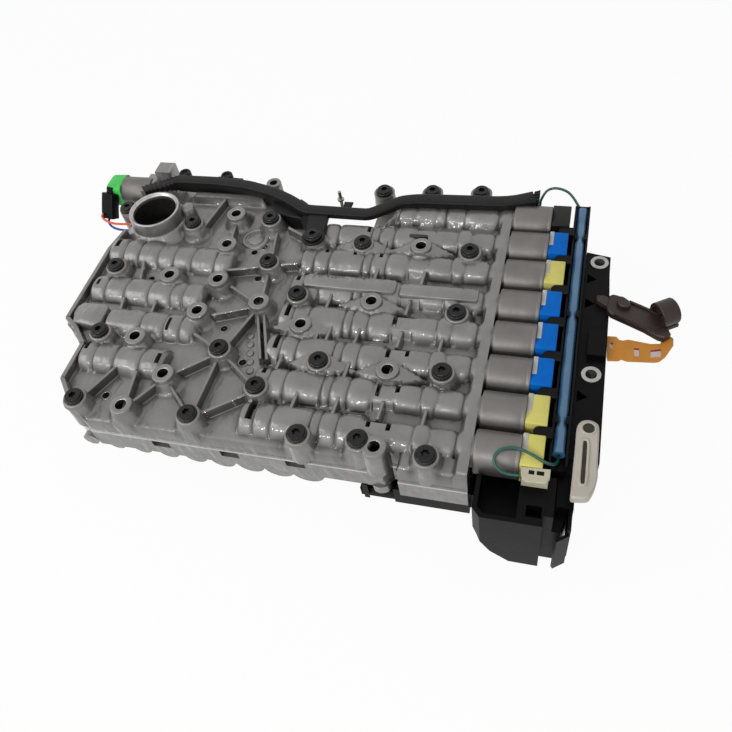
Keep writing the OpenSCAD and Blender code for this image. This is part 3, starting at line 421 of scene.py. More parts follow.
# everything that is cut into it, then the round of its outer edge
for x, y, size_x, size_y in slots:
    half_x, half_y = size_x / 2 - slot_lip, size_y / 2 - slot_lip
    skin = soft_low(-slab(x - half_x, x + half_x, y - half_y, y + half_y, -slot_floor, wall_slope), skin, 0.2)
bores = [(place, 4.6, z_split + 1, 0.3) for place in hole_places]
bores += [(place, 2.4, z_floor - 3.5, 0.2) for place in drills]
bores += [(port, 16.6, z_split + 3, 0.3)]
for place, radius, bottom, blend in bores:
    skin = soft_low(-boss(place, radius, -bottom, wall_slope / 2), skin, blend)
edge_round = 1.4
from_edge = np.minimum(across - start[:, None], stop[:, None] - across)
inside = np.maximum(edge_round - from_edge, 0)
skin -= edge_round - np.sqrt(np.maximum(edge_round**2 - inside**2, 0))


def blurred(values, reach):
    """Values averaged with a bell curve that is reach cells wide, along both directions of the grid."""
    cells = np.arange(-3 * reach, 3 * reach + 1)
    bell = np.exp(-0.5 * (cells / reach) ** 2)
    bell /= bell.sum()
    padded = np.pad(values, 3 * reach, mode="edge")
    rows = np.apply_along_axis(np.convolve, 1, padded, bell, "valid")
    return np.apply_along_axis(np.convolve, 0, rows, bell, "valid")


# the skin on its walls; a point's painted shade is how far it lies under the mean round it
as_cast, cut, painted_dark = 0, 1, 2
lane_count = len(lanes) + 2
grid = np.empty((len(stations), lane_count, 3))
grid[:, :, 0] = stations[:, None]
grid[:, 1:-1, 1], grid[:, 1:-1, 2] = across, skin
grid[:, 0, 1], grid[:, -1, 1] = start, stop
grid[:, [0, -1], 2] = z_split
painted_shade = np.zeros((len(stations), lane_count))
shade_from, shade_full, painted_dark_from = 0.15, 3.2, 1.2
painted_shade[:, 1:-1] = np.clip((blurred(skin, 3) - skin - shade_from) / shade_full, 0, 1)
shapes = [(grid.reshape(-1, 3), capped_faces(len(stations), lane_count))]
# faces sunk well under the floor, in slots and bores, take the dark finish, which is painted shade
depth = np.pad(skin, ((0, 0), (1, 1)), constant_values=z_floor)
depth = np.maximum(depth[:-1], depth[1:])
shaded_faces = np.maximum(depth, np.roll(depth, -1, axis=1)) < z_floor - painted_dark_from
cast_which = np.where(shaded_faces, painted_dark, as_cast).ravel().tolist() + [as_cast, as_cast]


def repeated(shape, centres):
    """One grid of closed rings, put down at every centre."""
    centres = np.atleast_2d(centres)
    points = (centres[:, None, None] + shape[None]).reshape(-1, 3)
    one = np.array(wall_faces(*shape.shape[:2]))
    first = np.arange(len(centres)) * shape.shape[0] * shape.shape[1]
    return points, (one[None] + first[:, None, None]).reshape(-1, 4).tolist()


def turned(profile, centres, sides, axis=2):
    """A profile of (radius, height) pairs turned round an axis through each centre."""
    profile = np.asarray(profile, float)
    angle = np.linspace(0, 2 * np.pi, sides, endpoint=False)
    ring = np.stack([np.cos(angle), np.sin(angle)], -1)
    flat = profile[:, None, :1] * ring[None]
    shape = np.concatenate([flat, np.repeat(profile[:, None, 1:], sides, axis=1)], -1)
    if axis == 0:
        shape = shape[..., [2, 0, 1]]
    elif axis == 1:
        shape = shape[..., [1, 2, 0]]
    return repeated(shape, centres)


def join(*shapes):
    """Several (points, faces) as one, the later faces counted on from the earlier points."""
    points, faces, first = [], [], 0
    for some_points, some_faces in shapes:
        points.append(np.asarray(some_points, float))
        faces += [[c + first for c in f] for f in some_faces]
        first += len(some_points)
    return np.vstack(points), faces


def upright(spots):
    """Places in plan as points at height 0."""
    spots = np.atleast_2d(np.asarray(spots, float))
    return np.column_stack([spots, np.zeros(len(spots))])


# ribs, cast in one with the rest: thin, with drafted sides and a small round at the top. They join the bosses
# of the web, cross the valleys between the rows and edge the left end
hub, knee, crown = [-152, row_y(4.84)], [-165, row_y(6.40)], [-157, row_y(3.46)]
low_left, low_right = [-194, row_y(7.32)], [-166.5, row_y(8.32)]
left_hole, front_bolt, back_bolt = [left_x + 77, row_y(8.32)], [-132, row_y(7.34)], [-132, row_y(2.48)]
web = [
    [hub, crown], [hub, [-182, row_y(5.3)]], [hub, knee], [[-149.8, hub[1]], [-133.2, row_y(6.48)]],
    [[-154.2, hub[1]], [-137.6, row_y(6.48)]], [hub, [-178, row_y(4.3)]], [knee, front_bolt],
    [knee, low_left], [knee, [-188, row_y(5.95)]], [knee, low_right], [low_left, low_right],
    [low_left, left_hole], [low_right, front_bolt], [crown, [-186, row_y(3.75)]],
    [crown, [-138, row_y(3.3)]], [crown, [-162, row_y(2.25)]], [[-155, row_y(2.01)], back_bolt],
    [[-197, row_y(1.75)], [-193, row_y(2.94)]],
    [[left_x + 44, row_y(8.29)], [left_x + 57, row_y(7.25)]], [left_hole, [left_x + 73, row_y(7.25)]],
    [[left_x + 68, row_y(2.2)], [left_x + 74, ledge_y - 10]]]
left_ribs = [[[-252.4, 22], [-247.6, 5]], [[-252.2, -12.5], [-249.8, -24]], [[-227.6, -12.5], [-226.2, -24]]]
left_rim = places([
    [6.4, 2.5], [2.4, 3.27], [2.4, 5.83], [12.4, 6.1], [24.5, 6.58], [24.5, 7.68], [40, 8.35]], [])
# place along X, then the first and the last row between which the rib crosses the valleys
crossing = [
    [-107, 4, 8], [-81.5, 2, 8], [-54.8, 4, 8], [-124.7, 6, 7], [-100, 5, 6], [-50, 2, 4], [-29, 5, 8]]
z_web, z_cross, z_left = z_seat - 3.2, 62.0, 61.0
rib_w, rim_w = 2.0, 3.0
bars = [(p, q, rib_w, z_web) for p, q in web]
for x, first_row, last_row in crossing:
    for k in range(first_row, last_row):
        bars.append(([x + 0.3, row_y(k) - 7], [x - 0.3, row_y(k + 1) + 7], rib_w, z_cross))
bars += [(p, q, rib_w, z_left) for p, q in left_ribs]
bars += [(p, q, rim_w, z_left) for p, q in zip(left_rim[:-1], left_rim[1:])]
rib_shapes = []
for p, q, width, top in bars:
    w, foot = width / 2, z_floor - 0.4
    section = [
        [-w - 1.4, foot], [w + 1.4, foot], [w + 0.5, foot + 0.9], [w, top - 0.4], [w - 0.35, top],
        [0.35 - w, top], [-w, top - 0.4], [-w - 0.5, foot + 0.9]]
    rib_shapes.append(carried(np.array([[*p, 0.0], [*q, 0.0]]), section))
# painted shade on the ribs: darkest at their feet, lighter up their sides, none on their tops
rib_painted_shade = [0.4, 0.4, 0.7, 0.35, 0, 0, 0.35, 0.7] * 2 * len(bars)
add_piece("casting_ribs", join(*rib_shapes), [cast_skin], "casting", sharp=20, marks={"painted_shade": rib_painted_shade})

# turned forms as (radius, height) pairs, and the finish of each of their bands; the dark bands inside the
# bores, the port, the drills and the lug are painted shade
hole_wall = [
    [7.4, z_seat - 1.6], [7.0, z_seat + 0.5], [6.8, z_seat + 0.85], [6.5, z_seat + 1], [3.75, z_seat + 1],
    [3.5, z_seat + 0.75], [3.5, z_seat - 1.5], [3.5, z_split], [0.01, z_split]]
seat_wall = [[8.0, z_seat - 2.4], [7.5, z_seat - 0.7], [7.2, z_seat - 0.15], [6.8, z_seat], [0.01, z_seat]]
port_wall = [
    [22, z_floor], [20.2, z_floor + 4], [19.3, z_floor + 8], [19.1, z_rim - 0.8], [18.7, z_rim - 0.15],
    [18.3, z_rim], [17.6, z_rim], [16.9, z_rim - 0.9], [16.3, z_rim - 1.2], [16.0, z_rim - 1.8],
    [16.0, z_rim - 4], [16.0, 52], [15.2, 49.6], [0.01, 49]]
column = [[7.7, z_split], [7.3, z_seat - 1.8], [3.6, z_seat - 1.8], [3.6, z_split], [7.7, z_split]]
front_places = np.vstack([bolt_places[bolt_places[:, 1] < row_y(8.25)], hole_places[-1:]])
plug_wall = [
    [10.6, z_floor - 0.5], [9.9, z_floor + 1.0], [9.5, z_floor + 1.3], [8.2, z_floor + 1.3],
    [7.9, z_floor + 1.0], [7.7, z_floor + 0.5], [6.3, z_floor + 0.5], [6.1, z_floor + 1.1],
    [5.7, z_floor + 1.4], [0.01, z_floor + 1.4]]
post_wall = [[5.6, z_floor], [4.9, z_seat + 2.2], [4.5, z_seat + 2.6], [0.01, z_seat + 2.6]]
dot_wall = [[2.6, z_floor - 0.3], [2.4, z_floor + 0.7], [2.1, z_floor + 0.9], [0.01, z_floor + 0.9]]
drill_wall = [
    [3.8, z_floor - 2.5], [3.5, z_floor + 0.1], [3.2, z_floor + 0.4], [2.5, z_floor + 0.4],
    [2.3, z_floor + 0.2], [2.3, z_floor - 3], [0.01, z_floor - 3]]
lug_wall = [[5.9, 50], [5.7, 61], [5.3, 61.6], [3.0, 61.6], [2.8, 61.2], [2.7, 58.5], [0.01, 58.4]]
lathed = [
    (hole_wall, hole_places, 36, [as_cast] * 4 + [cut] + [painted_dark] * 3),
    (seat_wall, bolt_places, 32, [as_cast] * 4),
    (port_wall, port, 96, [as_cast] * 4 + [cut] * 6 + [painted_dark] * 3),
    (column, front_places, 32, [as_cast] * 4),
    (plug_wall, plug_boss, 40, [as_cast] * 9), (post_wall, post, 32, [as_cast] * 3),
    (dot_wall, dots, 20, [as_cast] * 3), (drill_wall, drills, 24, [as_cast] * 4 + [painted_dark] * 2),
    (lug_wall, lug, 32, [as_cast] * 4 + [painted_dark] * 2)]
for profile, spots, sides, bands in lathed:
    shapes.append(turned(profile, upright(spots), sides))
    cast_which += np.tile(np.repeat(bands, sides), len(np.atleast_2d(spots))).tolist()


def stacked(levels):
    """Flat outlines at their heights, joined by walls and closed at both ends."""
    points = np.vstack([np.column_stack([ring, np.full(len(ring), z)]) for ring, z in levels])
    return points, capped_faces(len(levels), len(levels[0][0]))


def chamfered(x0, x1, y0, y1, corner):
    """Outline of a rectangle with its corners cut off."""
    return [[x0, y0 + corner], [x0 + corner, y0], [x1 - corner, y0], [x1, y0 + corner],
            [x1, y1 - corner], [x1 - corner, y1], [x0 + corner, y1], [x0, y1 - corner]]


# flat pads: a bar over one row in two lengths, the end of a shift row, the lug's foot, and a dark pad that is
# painted shade standing for a slot
bar_y = row_y(4)
long_bar = [
    [-127.6, bar_y - 1], [-125.6, bar_y - 4.4], [-66.6, bar_y - 4.4], [-65, bar_y - 2.6], [-65, bar_y + 5],
    [-66.6, bar_y + 6.6], [-124, bar_y + 6.6], [-127.2, bar_y + 4.4]]
row_end = places([
    [7, 5.7], [10, 6.0], [28, 6.05], [30, 5.9], [30, 5.42], [28, 5.34], [10, 5.34], [7, 5.5]], [])
lug_foot = [[-188, 96], [-176, 96], [-176.4, 112], [-187.6, 112]]
flats = [
    (long_bar, 65.2, as_cast), (chamfered(-62, -12, bar_y - 5, bar_y + 5, 1), 64.6, as_cast),
    (row_end, 62.6, as_cast), (lug_foot, 59.6, as_cast), (chamfered(-66.2, -53.6, 61.6, 64, 0.6), 64.2, painted_dark)]
for outline, top, finish in flats:
    base = np.array(outline)
    middle = base.mean(0)
    bevel = 0.5
    peak = middle + (base - middle) * (1 - bevel / np.abs(base - middle).max(0))
    shapes.append(stacked([(middle + (base - middle) * 1.02, z_floor), (base, top - bevel), (peak, top)]))
    cast_which += [finish] * len(shapes[-1][1])
shape = join(*shapes)
painted_shade = np.concatenate([painted_shade.ravel(), np.zeros(len(shape[0]) - painted_shade.size)])
add_piece("upper_casting", shape, [cast_skin, machined, recess_shade], "casting", ["upper_housing"],
          cast_which, sharp=50, marks={"painted_shade": painted_shade})

# Housing bolts: forged steel with a dark phosphate coat. A round flange carries a raised head with a
# six-lobed recess, and each bolt clamps both housings and the plate.
phosphate = grained(
    "phosphate_coat", (0.006, 0.006, 0.0058), (0.003, 0.003, 0.003), 300, 0.2, 0.03, shine=0.32)


def bolt_heads(spots, seats, length):
    """Bolt of (radius, height) stations turned round Z; from the recess inwards the radius is a ring
    with six lobes, the cosine of six turns added to its mean. Its stem has the length given."""
    sides = 48
    angle = np.linspace(0, 2 * np.pi, sides, endpoint=False)
    lobes = 1 + 0.2 * np.cos(6 * angle)
    stem = [[0.01, -length], [3, -length], [3, 0], [5.9, 0], [6.1, 0.15], [6.1, 1.5], [5.9, 1.9], [5.5, 2.1],
            [5.2, 2.2], [5.1, 2.9], [4.7, 3.3]]
    recess = [[2.2, 3.4], [1.95, 3.15], [1.9, 1.5], [0.01, 1.3]]
    radius = np.vstack([np.repeat([[r] for r, _ in stem], sides, axis=1), [r * lobes for r, _ in recess]])
    height = np.repeat([[z] for _, z in stem + recess], sides, axis=1)
    shape = np.stack([radius * np.cos(angle), radius * np.sin(angle), height], -1)
    return repeated(shape, np.column_stack([spots, seats]))


# the last bolt stands on the clip of the cable channel
clip_t = 1.6
seats = np.full(len(bolt_places), z_seat)
seats[-1] += clip_t
add_piece("flange_bolts", bolt_heads(bolt_places, seats, 28.0), [phosphate], "dark_steel", ["housing_bolts"])
rear_places = np.vstack([places([], [[-95.5, 0.2], [-60, 0.12], [-25, 0.05]]), [[left_x - 13, shelf_y - 5]]])
shape = bolt_heads(rear_places, [57.6, 57.6, 57.6, 49], 15.0)
add_piece("rear_flange_bolts", shape, [phosphate], "dark_steel", ["rear_bolts"])

# Valves: ground steel spools with their springs, plugs and flat retainers, which stand in slots across the
# bores. Only the retainers' edges show.
ground_steel = grained("ground_steel", (0.40, 0.40, 0.39), (0.30, 0.30, 0.29), 500, 0.3, 0.004, metal=1.0)
spring_steel = grained("spring_steel", (0.035, 0.035, 0.034), (0.02, 0.02, 0.02), 500, 0.42, 0.006, metal=0.6)
retainer_steel = grained(
    "retainer_steel", (0.10, 0.10, 0.098), (0.07, 0.07, 0.068), 300, 0.45, 0.006, metal=0.6)
dress(ground_steel, *[f"main_spool_{k}" for k in main_rows], *[f"shift_spool_{i}" for i in range(1, 5)])
dress(ground_steel, "dowel_pin")
dress(spring_steel, "main_springs", "shift_springs", "solenoid_screws")
dress(retainer_steel, "valve_retainers", "stop_plates", "shift_plugs")

# Solenoids: deep-drawn steel cans in grey plating, pressed over moulded noses that plug into the flange. They
# stand one row pitch apart.
can_plating = grained(
    "can_plating", (0.195, 0.184, 0.176), (0.155, 0.147, 0.141), 60, 0.48, 0.01, metal=0.8)
z_axis = 54.0
nose_profile = [
    [0.01, -44], [4.1, -44], [5.08, -43], [5.08, -30], [4.1, -30], [4.1, -28], [5.08, -28], [5.08, -12],
    [4.1, -12], [4.1, -10], [5.08, -10], [5.08, 0], [9.4, 0], [9.4, 1.3]]
shell_profile = [
    [11.8, 1.3], [12.2, 1.45], [12.4, 1.9], [12.4, 3], [12.4, 9], [12.4, 16], [12.4, 23.4], [12.3, 23.6],
    [12.3, 23.9], [12.4, 24.1], [12.4, 25.4], [12.25, 25.8], [11.8, 26], [0.01, 26]]
can_axes = np.array([[0, row_y(k), z_axis] for k in range(1, 9)])
shape = turned(nose_profile + shell_profile, can_axes, 72, axis=0)
add_piece("solenoid_cans", shape, [can_plating], "can_steel", [f"solenoid_{k}" for k in range(1, 9)])

# Connector caps: moulded in blue, yellow or black for the kinds of solenoid, with a white strip of the coil
# former showing at the can.
cap_blue = grained("cap_blue", (0.003, 0.17, 0.68), (0.002, 0.14, 0.58), 120, 0.45, 0.02, shine=0.1)
cap_yellow = grained("cap_yellow", (0.76, 0.70, 0.19), (0.69, 0.63, 0.165), 120, 0.45, 0.02, shine=0.3)
black_mould = grained(
    "black_mould", (0.008, 0.0076, 0.007), (0.004, 0.0038, 0.0036), 160, 0.42, 0.03, shine=0.25)
former_white = grained("former_white", (0.62, 0.61, 0.57), (0.50, 0.49, 0.46), 140, 0.45, 0.02)


def rounded_ring(width, height, radius, each=5):
    """Corners of a rectangle with rounded corners, from quarter circles of a few points each."""
    quarter = np.linspace(0, np.pi / 2, each)
    corners = [(1, 1), (-1, 1), (-1, -1), (1, -1)]
    ring = [
        [sx * (width / 2 - radius), sy * (height / 2 - radius)] + radius * np.column_stack(
            [np.cos(quarter + i * np.pi / 2), np.sin(quarter + i * np.pi / 2)])
        for i, (sx, sy) in enumerate(corners)]
    return np.vstack(ring)


def block_along(axis, levels, centre):
    """Rounded rectangles stacked along an axis, given as (station, width, height, corner radius), with
    closed ends: a moulded block with drafted or bevelled sides."""
    points, faces = stacked([(rounded_ring(*size), station) for station, *size in levels])
    order = {0: [2, 0, 1], 2: [0, 1, 2]}[axis]
    return points[:, order] + centre, faces


cap_kinds = {"blue": (cap_blue, [2, 4, 5, 6]), "yellow": (cap_yellow, [3, 7, 8]), "black": (black_mould, [1])}
cap_levels = [
    (26.1, 19.4, 18.6, 0.9), (26.4, 19.8, 19, 0.9), (37.4, 19.8, 19, 0.9), (37.8, 19.4, 18.6, 0.9),
    (38, 18.8, 18, 0.8)]
for colour, (finish, rows) in cap_kinds.items():
    shape = join(*[block_along(0, cap_levels, [0, row_y(k), z_axis]) for k in rows])
    add_piece(f"connector_caps_{colour}", shape, [finish], f"{colour}_plastic",
              [f"solenoid_cap_{k}" for k in rows])
strip_levels = [(63.3, 2.6, 12.4, 0.3), (63.65, 2.6, 12.4, 0.3), (63.8, 2.3, 12.1, 0.3)]
shape = join(*[block_along(2, strip_levels, [27.6, row_y(k) + 3.6, 0]) for k in main_rows])
add_piece("former_strips", shape, [former_white], "white_plastic")

# Wiring rail and blue tube: a black moulding with a socket and a round tongue for every cap, and a clear
# tinted tube clipped into its groove that shields the green lead.
tube_tint = grained("tube_tint", (0.08, 0.205, 0.36), (0.042, 0.13, 0.26), 60, 0.2, 0.03, coat=0.4)
rail_black = grained("rail_black", (0.004, 0.004, 0.0035), (0.002, 0.002, 0.002), 160, 0.4, 0.03, shine=0.12)


def right_of(vectors):
    """Unit vectors in plan, square to the given ones and on their right."""
    return unit(np.column_stack([vectors[:, 1], -vectors[:, 0]]))


def plate(outline, z0, z1, bevel=0.5):
    """A closed outline in plan raised from z0 to z1; its upper edge is bevelled by moving every corner
    inwards along the mean of its two edges' normals."""
    outline = np.asarray(outline, float)
    ahead = np.roll(outline, -1, axis=0) - outline
    if (outline[:, 0] * ahead[:, 1] - outline[:, 1] * ahead[:, 0]).sum() < 0:
        return plate(outline[::-1], z0, z1, bevel)
    normal = right_of(ahead)
    mean = unit(normal + np.roll(normal, 1, axis=0))
    return stacked([(outline, z0), (outline, z1 - bevel), (outline - bevel * mean, z1)])


def box(x0, x1, y0, y1, z0, z1, bevel=0.3):
    """A plate with a rectangular outline."""
    return plate([[x0, y0], [x1, y0], [x1, y1], [x0, y1]], z0, z1, bevel)


half_turn = np.linspace(np.pi / 2, 1.5 * np.pi, 13)
tongue_r, tongue_end = 3.4, 10.2
tongue_round = [tongue_r, 0] + tongue_r * np.column_stack([np.cos(half_turn), np.sin(half_turn)])
tongue = np.vstack([[[tongue_end, -tongue_r], [tongue_end, tongue_r]], tongue_round])
rail_back = 106
clips = row_y(np.array([1.6, 4.15, 7.1]))
shapes = [plate(tongue + [31.0, row_y(k + 0.5)], 46, 62.4, 0.6) for k in range(1, 8)]
shapes += [
    box(40.6, 50.2, -95, rail_back, 46, 51.6), box(40.4, 41.9, -95.2, rail_back, 44, 59.4),
    box(49.0, 50.4, -95.2, rail_back, 44, 59.4), box(40.6, 50.2, rail_back - 1.2, rail_back, 46, 59.0)]
shapes += [box(x, x + 1.5, y - 2.6, y + 2.6, 51, 60.6) for y in clips for x in (41.7, 47.7)]
add_piece("socket_rail", join(*shapes), [rail_black], "black_plastic", ["wiring_rail"])
tube_stations = np.linspace(tube_low[1], tube_high[1], 200)
pinch = np.exp(-((tube_stations[:, None] - clips[None]) / 2.6) ** 2).sum(1)
flare = np.exp(-((tube_stations - tube_low[1]) / 4) ** 2) + np.exp(-((tube_stations - tube_high[1]) / 9) ** 2)
tube_r, bore_r = 3.25, 1.5
outer_wall = np.column_stack([tube_r - 0.95 * pinch + 0.3 * flare, tube_stations])
inner_wall = np.column_stack([np.full(len(tube_stations), bore_r), tube_stations])[::-1]
closed = np.vstack([outer_wall, inner_wall, outer_wall[:1]])
shape = turned(closed, [conduit_x, 0, conduit_z + 1.2], 32, axis=1)
add_piece("tinted_tube", shape, [tube_tint], "blue_tube", ["lead_conduit"])

# Lead plug: a white moulded housing beside the last cap, where the lower green lead ends. Two dark patches
# on its top are painted shade for the windows over its contacts.
plug_white = grained("plug_white", (0.60, 0.57, 0.42), (0.52, 0.49, 0.36), 140, 0.45, 0.02)
dress(plug_white, "lead_plug")
plug_outline = [
    [27.6, -106.4], [30, -109.8], [40.6, -109.2], [42.2, -105.8], [42.2, -100.6], [26.8, -101.4]]
plug_top = 62.6
add_piece("plug_front", plate(plug_outline, plug_top - 2, plug_top, 0.4), [plug_white], "white_plastic")
# the window patches are painted shade: flat dark plates, not openings
window_shades = [[31.2, 34.1, -105.2, -102.9], [35.3, 39.1, -105.1, -102.8]]
shape = join(*[box(*window, plug_top - 0.4, plug_top + 0.15, 0.05) for window in window_shades])
add_piece("plug_window_shade", shape, [rail_black], "black_plastic")

# Control unit: a black glass-filled moulding under and beside the solenoids on a cast base plate, with two
# turned steel bushings for its screws. Blocks of the same moulding fill the gaps beside it.
unit_black = grained(
    "unit_black", (0.004, 0.0038, 0.0038), (0.002, 0.002, 0.002), 160, 0.4, 0.05, shine=0.085)
dress(unit_black, "control_unit")
dress(cast_skin, "unit_base_plate")
bushing_steel = grained("bushing_steel", (0.42, 0.42, 0.41), (0.33, 0.33, 0.32), 260, 0.32, 0.01, metal=0.85)
dress(bushing_steel, "unit_bushings")
shape = join(
    box(46.5, 56, -113, -93, 20, 46, 0.4), box(-66, -36, -106.5, -90, 10, 19, 0.6),
    box(-48, -37.5, -100, -90, 18, 42, 0.2))
add_piece("unit_fillers", shape, [unit_black], "black_plastic")

# White bracket: a moulded plate beside the rail, with a long slot in a raised lip. One screw through the eye
# at its upper end holds it on the control unit.
bracket_white = grained("bracket_white", (0.56, 0.52, 0.45), (0.48, 0.445, 0.385), 60, 0.5, 0.02)
opening_shade = grained("opening_shade", (0.045, 0.038, 0.03), (0.03, 0.025, 0.02), 200, 0.5, 0.01, shine=0.2)


def looped(stops, steps):
    """Smooth closed line through stops: each span is the same cubic as in an open route."""
    stops = np.asarray(stops, float)
    closed = np.vstack([stops[-1:], stops, stops[:2]])
    flat = np.column_stack([closed, np.zeros(len(closed))])
    return route_through(flat, steps)[steps:-steps - 1, :2]


bracket_top = 60.0
screw_eye = [[59.6, -71.1, 0]]
bracket_stops = [
    [53.4, -72.3], [54.2, -68.6], [56.4, -66.2], [59.9, -65.3], [63.5, -66.7], [65.0, -69.9],
    [65.3, -79.4], [65.4, -90.3], [65.8, -99.4], [64.8, -105.7], [63.2, -110.2], [61.2, -112.6],
    [55.2, -113.6], [53.2, -112.6], [53.2, -107.0], [53.3, -97.6], [53.4, -86.8], [53.4, -79.0]]
slot_stops = [
    [58.3, -78.6], [60.0, -80.4], [60.3, -92], [60.2, -104], [58.5, -105.8], [56.8, -104], [56.6, -92],
    [56.6, -80.4]]
lip_path = looped(slot_stops, 6)
lip_sides = 10
lip_turn = np.linspace(0, 2 * np.pi, lip_sides, endpoint=False)
onward = np.roll(lip_path, -1, axis=0) - np.roll(lip_path, 1, axis=0)
outward = right_of(onward)
lip_plan = lip_path[:, None] + 0.8 * np.cos(lip_turn)[None, :, None] * outward[:, None]
lip_z = np.broadcast_to(bracket_top + 0.9 * np.sin(lip_turn)[None, :, None], (len(lip_path), lip_sides, 1))
lip_points = np.concatenate([lip_plan, lip_z], -1).reshape(-1, 3)
lip_faces = [[c % len(lip_points) for c in face] for face in wall_faces(len(lip_path) + 1, lip_sides)]
eye_ring = [[4.4, 58], [4.4, 60.2], [4.1, 60.5], [3.4, 60.5], [3.1, 60.2], [3.1, 58], [4.4, 58]]
bracket_plate = plate(looped(bracket_stops, 4), 54.6, bracket_top, 0.9)
bracket_shape = join(bracket_plate, (lip_points, lip_faces), turned(eye_ring, screw_eye, 36))
add_piece("white_bracket", bracket_shape, [bracket_white], "white_plastic", ["seal_bracket"])
# dark plates lie in the slot and in the screw eye: painted shade for the depth seen through them
slot_middle = 58.4
dark_stops = [[0.55 * (x - slot_middle) + slot_middle, y] for x, y in slot_stops]
dark_slot = plate(looped(dark_stops, 4), bracket_top - 1, bracket_top + 0.15, 0.1)
dark_eye = turned([[0.01, 59.6], [3.15, 59.6], [3.15, 60.12], [0.01, 60.15]], screw_eye, 32)
add_piece("bracket_opening_shade", join(dark_slot, dark_eye), [opening_shade], "black_plastic")

# Sensor arm: a brown moulded arm on the control unit, with a narrow root, a block over its sensor and an eye
# at its end. Two ridges stiffen it along its edges.
arm_brown = grained("arm_brown", (0.030, 0.017, 0.014), (0.019, 0.010, 0.008), 110, 0.42, 0.03, shine=0.4)
arm_low, arm_high = 54.4, 59.0
arm_stops = [
    [66.0, 27.0], [68.0, 28.6], [71.2, 28.0], [76.3, 24.1], [89.7, 17.6], [96.7, 13.4], [101.4, 1.0],
    [97.6, -2.4], [94.6, -1.6], [86.4, 3.6], [76.3, 8.6], [67.6, 12.8], [65.3, 15.6], [65.0, 21.0]]
root = [[58.4, 27.6], [63.0, 28.0], [67.6, 25.6], [67.6, 18.4], [63.3, 20.2], [58.8, 23.0]]
sensor_block = [
    [70.4, 21.2], [71.5, 24.6], [73.9, 24.4], [77.6, 21.3], [78.2, 17.8], [76.7, 16.2], [73.1, 16.5],
    [71.0, 18.4]]
eye_place = np.array([97.7, 14.3, 61.3])
eye_turn = np.radians(32)
eye_wall = [[8, -5], [8, 5], [7.6, 5.4], [5.9, 5.4], [5.5, 5], [5.5, -5], [5.9, -5.4], [7.6, -5.4], [8, -5]]
eye_points, eye_faces = turned(eye_wall, [[0, 0, 0]], 56, axis=0)
turn_cos, turn_sin = np.cos(eye_turn), np.sin(eye_turn)
spin = np.array([[turn_cos, turn_sin, 0], [-turn_sin, turn_cos, 0], [0, 0, 1]])
eye_points = eye_points @ spin + eye_place
foot_corners = np.array([[-5.2, -7.6], [5.2, -7.6], [5.2, 7.6], [-5.2, 7.6]])
eye_foot = foot_corners @ spin[:2, :2] + eye_place[:2]
back_ridge = np.array([[77.5, 22.6, 59.4], [84, 19.6, 59.4], [94, 14.6, 59.4]])
front_ridge = np.array([[69, 12.4, 59.2], [80, 7.4, 59.2], [94, -0.2, 59.2]])
arm_shape = join(
    plate(arm_stops, arm_low, arm_high, 0.8), plate(root, arm_low, arm_high - 1.2, 0.5),
    plate(sensor_block, arm_high - 0.5, arm_high + 3, 0.6), plate(eye_foot, arm_low, 57.0, 0.4),
    (eye_points, eye_faces), carried(back_ridge, rounded_ring(1.6, 1.8, 0.4, 3)),
    carried(front_ridge, rounded_ring(1.4, 1.4, 0.4, 3)))
add_piece("brown_arm", arm_shape, [arm_brown], "brown_plastic", ["sensor_arm"])

# Film lead: amber polyimide film that runs from the clamp on the unit round to the arm, with white and red
# marks printed on it.
film_amber = grained(
    "film_amber", (0.64, 0.262, 0.027), (0.56, 0.228, 0.022), 90, 0.3, 0.01, coat=0.1, shine=0.3)
mark_white = grained("mark_white", (0.62, 0.52, 0.50), (0.54, 0.44, 0.42), 200, 0.4, 0.01)
mark_red = grained("mark_red", (0.30, 0.02, 0.018), (0.22, 0.012, 0.012), 200, 0.4, 0.01)
film_top = 54.0
film_edge = [
    [66.6, -1.2], [71.7, -0.9], [73.5, -3.2], [75.8, -3.4], [78.3, -2.3], [91.2, -4.0], [96.2, -3.2],
    [97.6, 0.4], [101.8, 3.0], [103.5, 1.8], [103.5, -3.5], [99.1, -12.7], [95.8, -16.5], [93.4, -17.3],
    [78.3, -18.6], [75.3, -17.6], [73.4, -18.9], [67.5, -19.6], [66.9, -16.2]]
shape = plate(film_edge, film_top - 0.6, film_top, 0.1)
add_piece("amber_film", shape, [film_amber], "amber_foil", ["sensor_foil"])
white_marks = [
    [[81.9, -9.8], [84.6, -9.8], [84.8, -14.1], [82.1, -14.4]],
    [[91.0, -10.2], [96.6, -8.7], [96.7, -13.1], [91.1, -14.2]],
    [[67.4, -7.0], [69.4, -7.6], [70.2, -10.6], [68.6, -10.0]]]
red_marks = [
    [[81.9, -8.4], [84.6, -8.4], [84.7, -9.8], [81.9, -9.8]],
    [[91.0, -9.0], [96.6, -7.2], [96.6, -8.6], [91.0, -10.2]],
    [[69.0, -5.6], [70.4, -6.4], [69.6, -7.6], [68.6, -7.0]]]
mark_kinds = [("white", mark_white, white_marks, 0.15), ("red", mark_red, red_marks, 0.18)]
for colour, finish, marks, rise in mark_kinds:
    shape = join(*[plate(mark, film_top - 0.05, film_top + rise, 0.05) for mark in marks])
    add_piece(f"film_marks_{colour}", shape, [finish], "amber_foil")

# Cable channel: a black moulded duct along the back of the housings, clipped under one bolt. Its left end is
# corrugated to bend round the port, its right end opens into tines, and a leg reaches down the step.
channel_black = grained(
    "channel_black", (0.010, 0.0097, 0.0094), (0.006, 0.006, 0.006), 90, 0.45, 0.08, shine=0.22)
channel_stops = np.array([
    [left_x + 6.5, 88.5], [left_x + 10.6, 92.3], [left_x + 21.5, 97.6], [left_x + 30.6, 104], [-224, 104],
    [-198, 101.5], [-175, 95.3], [-160, 88], [-145.4, 78.8], [-98.3, 78.3], [-88, 85.4], [-78, 93.5],
    [-66, 95.6], [-28.7, 96.8], [-12, 97.2], [-3, 98.4], [4, 100.6], [14, 104]])
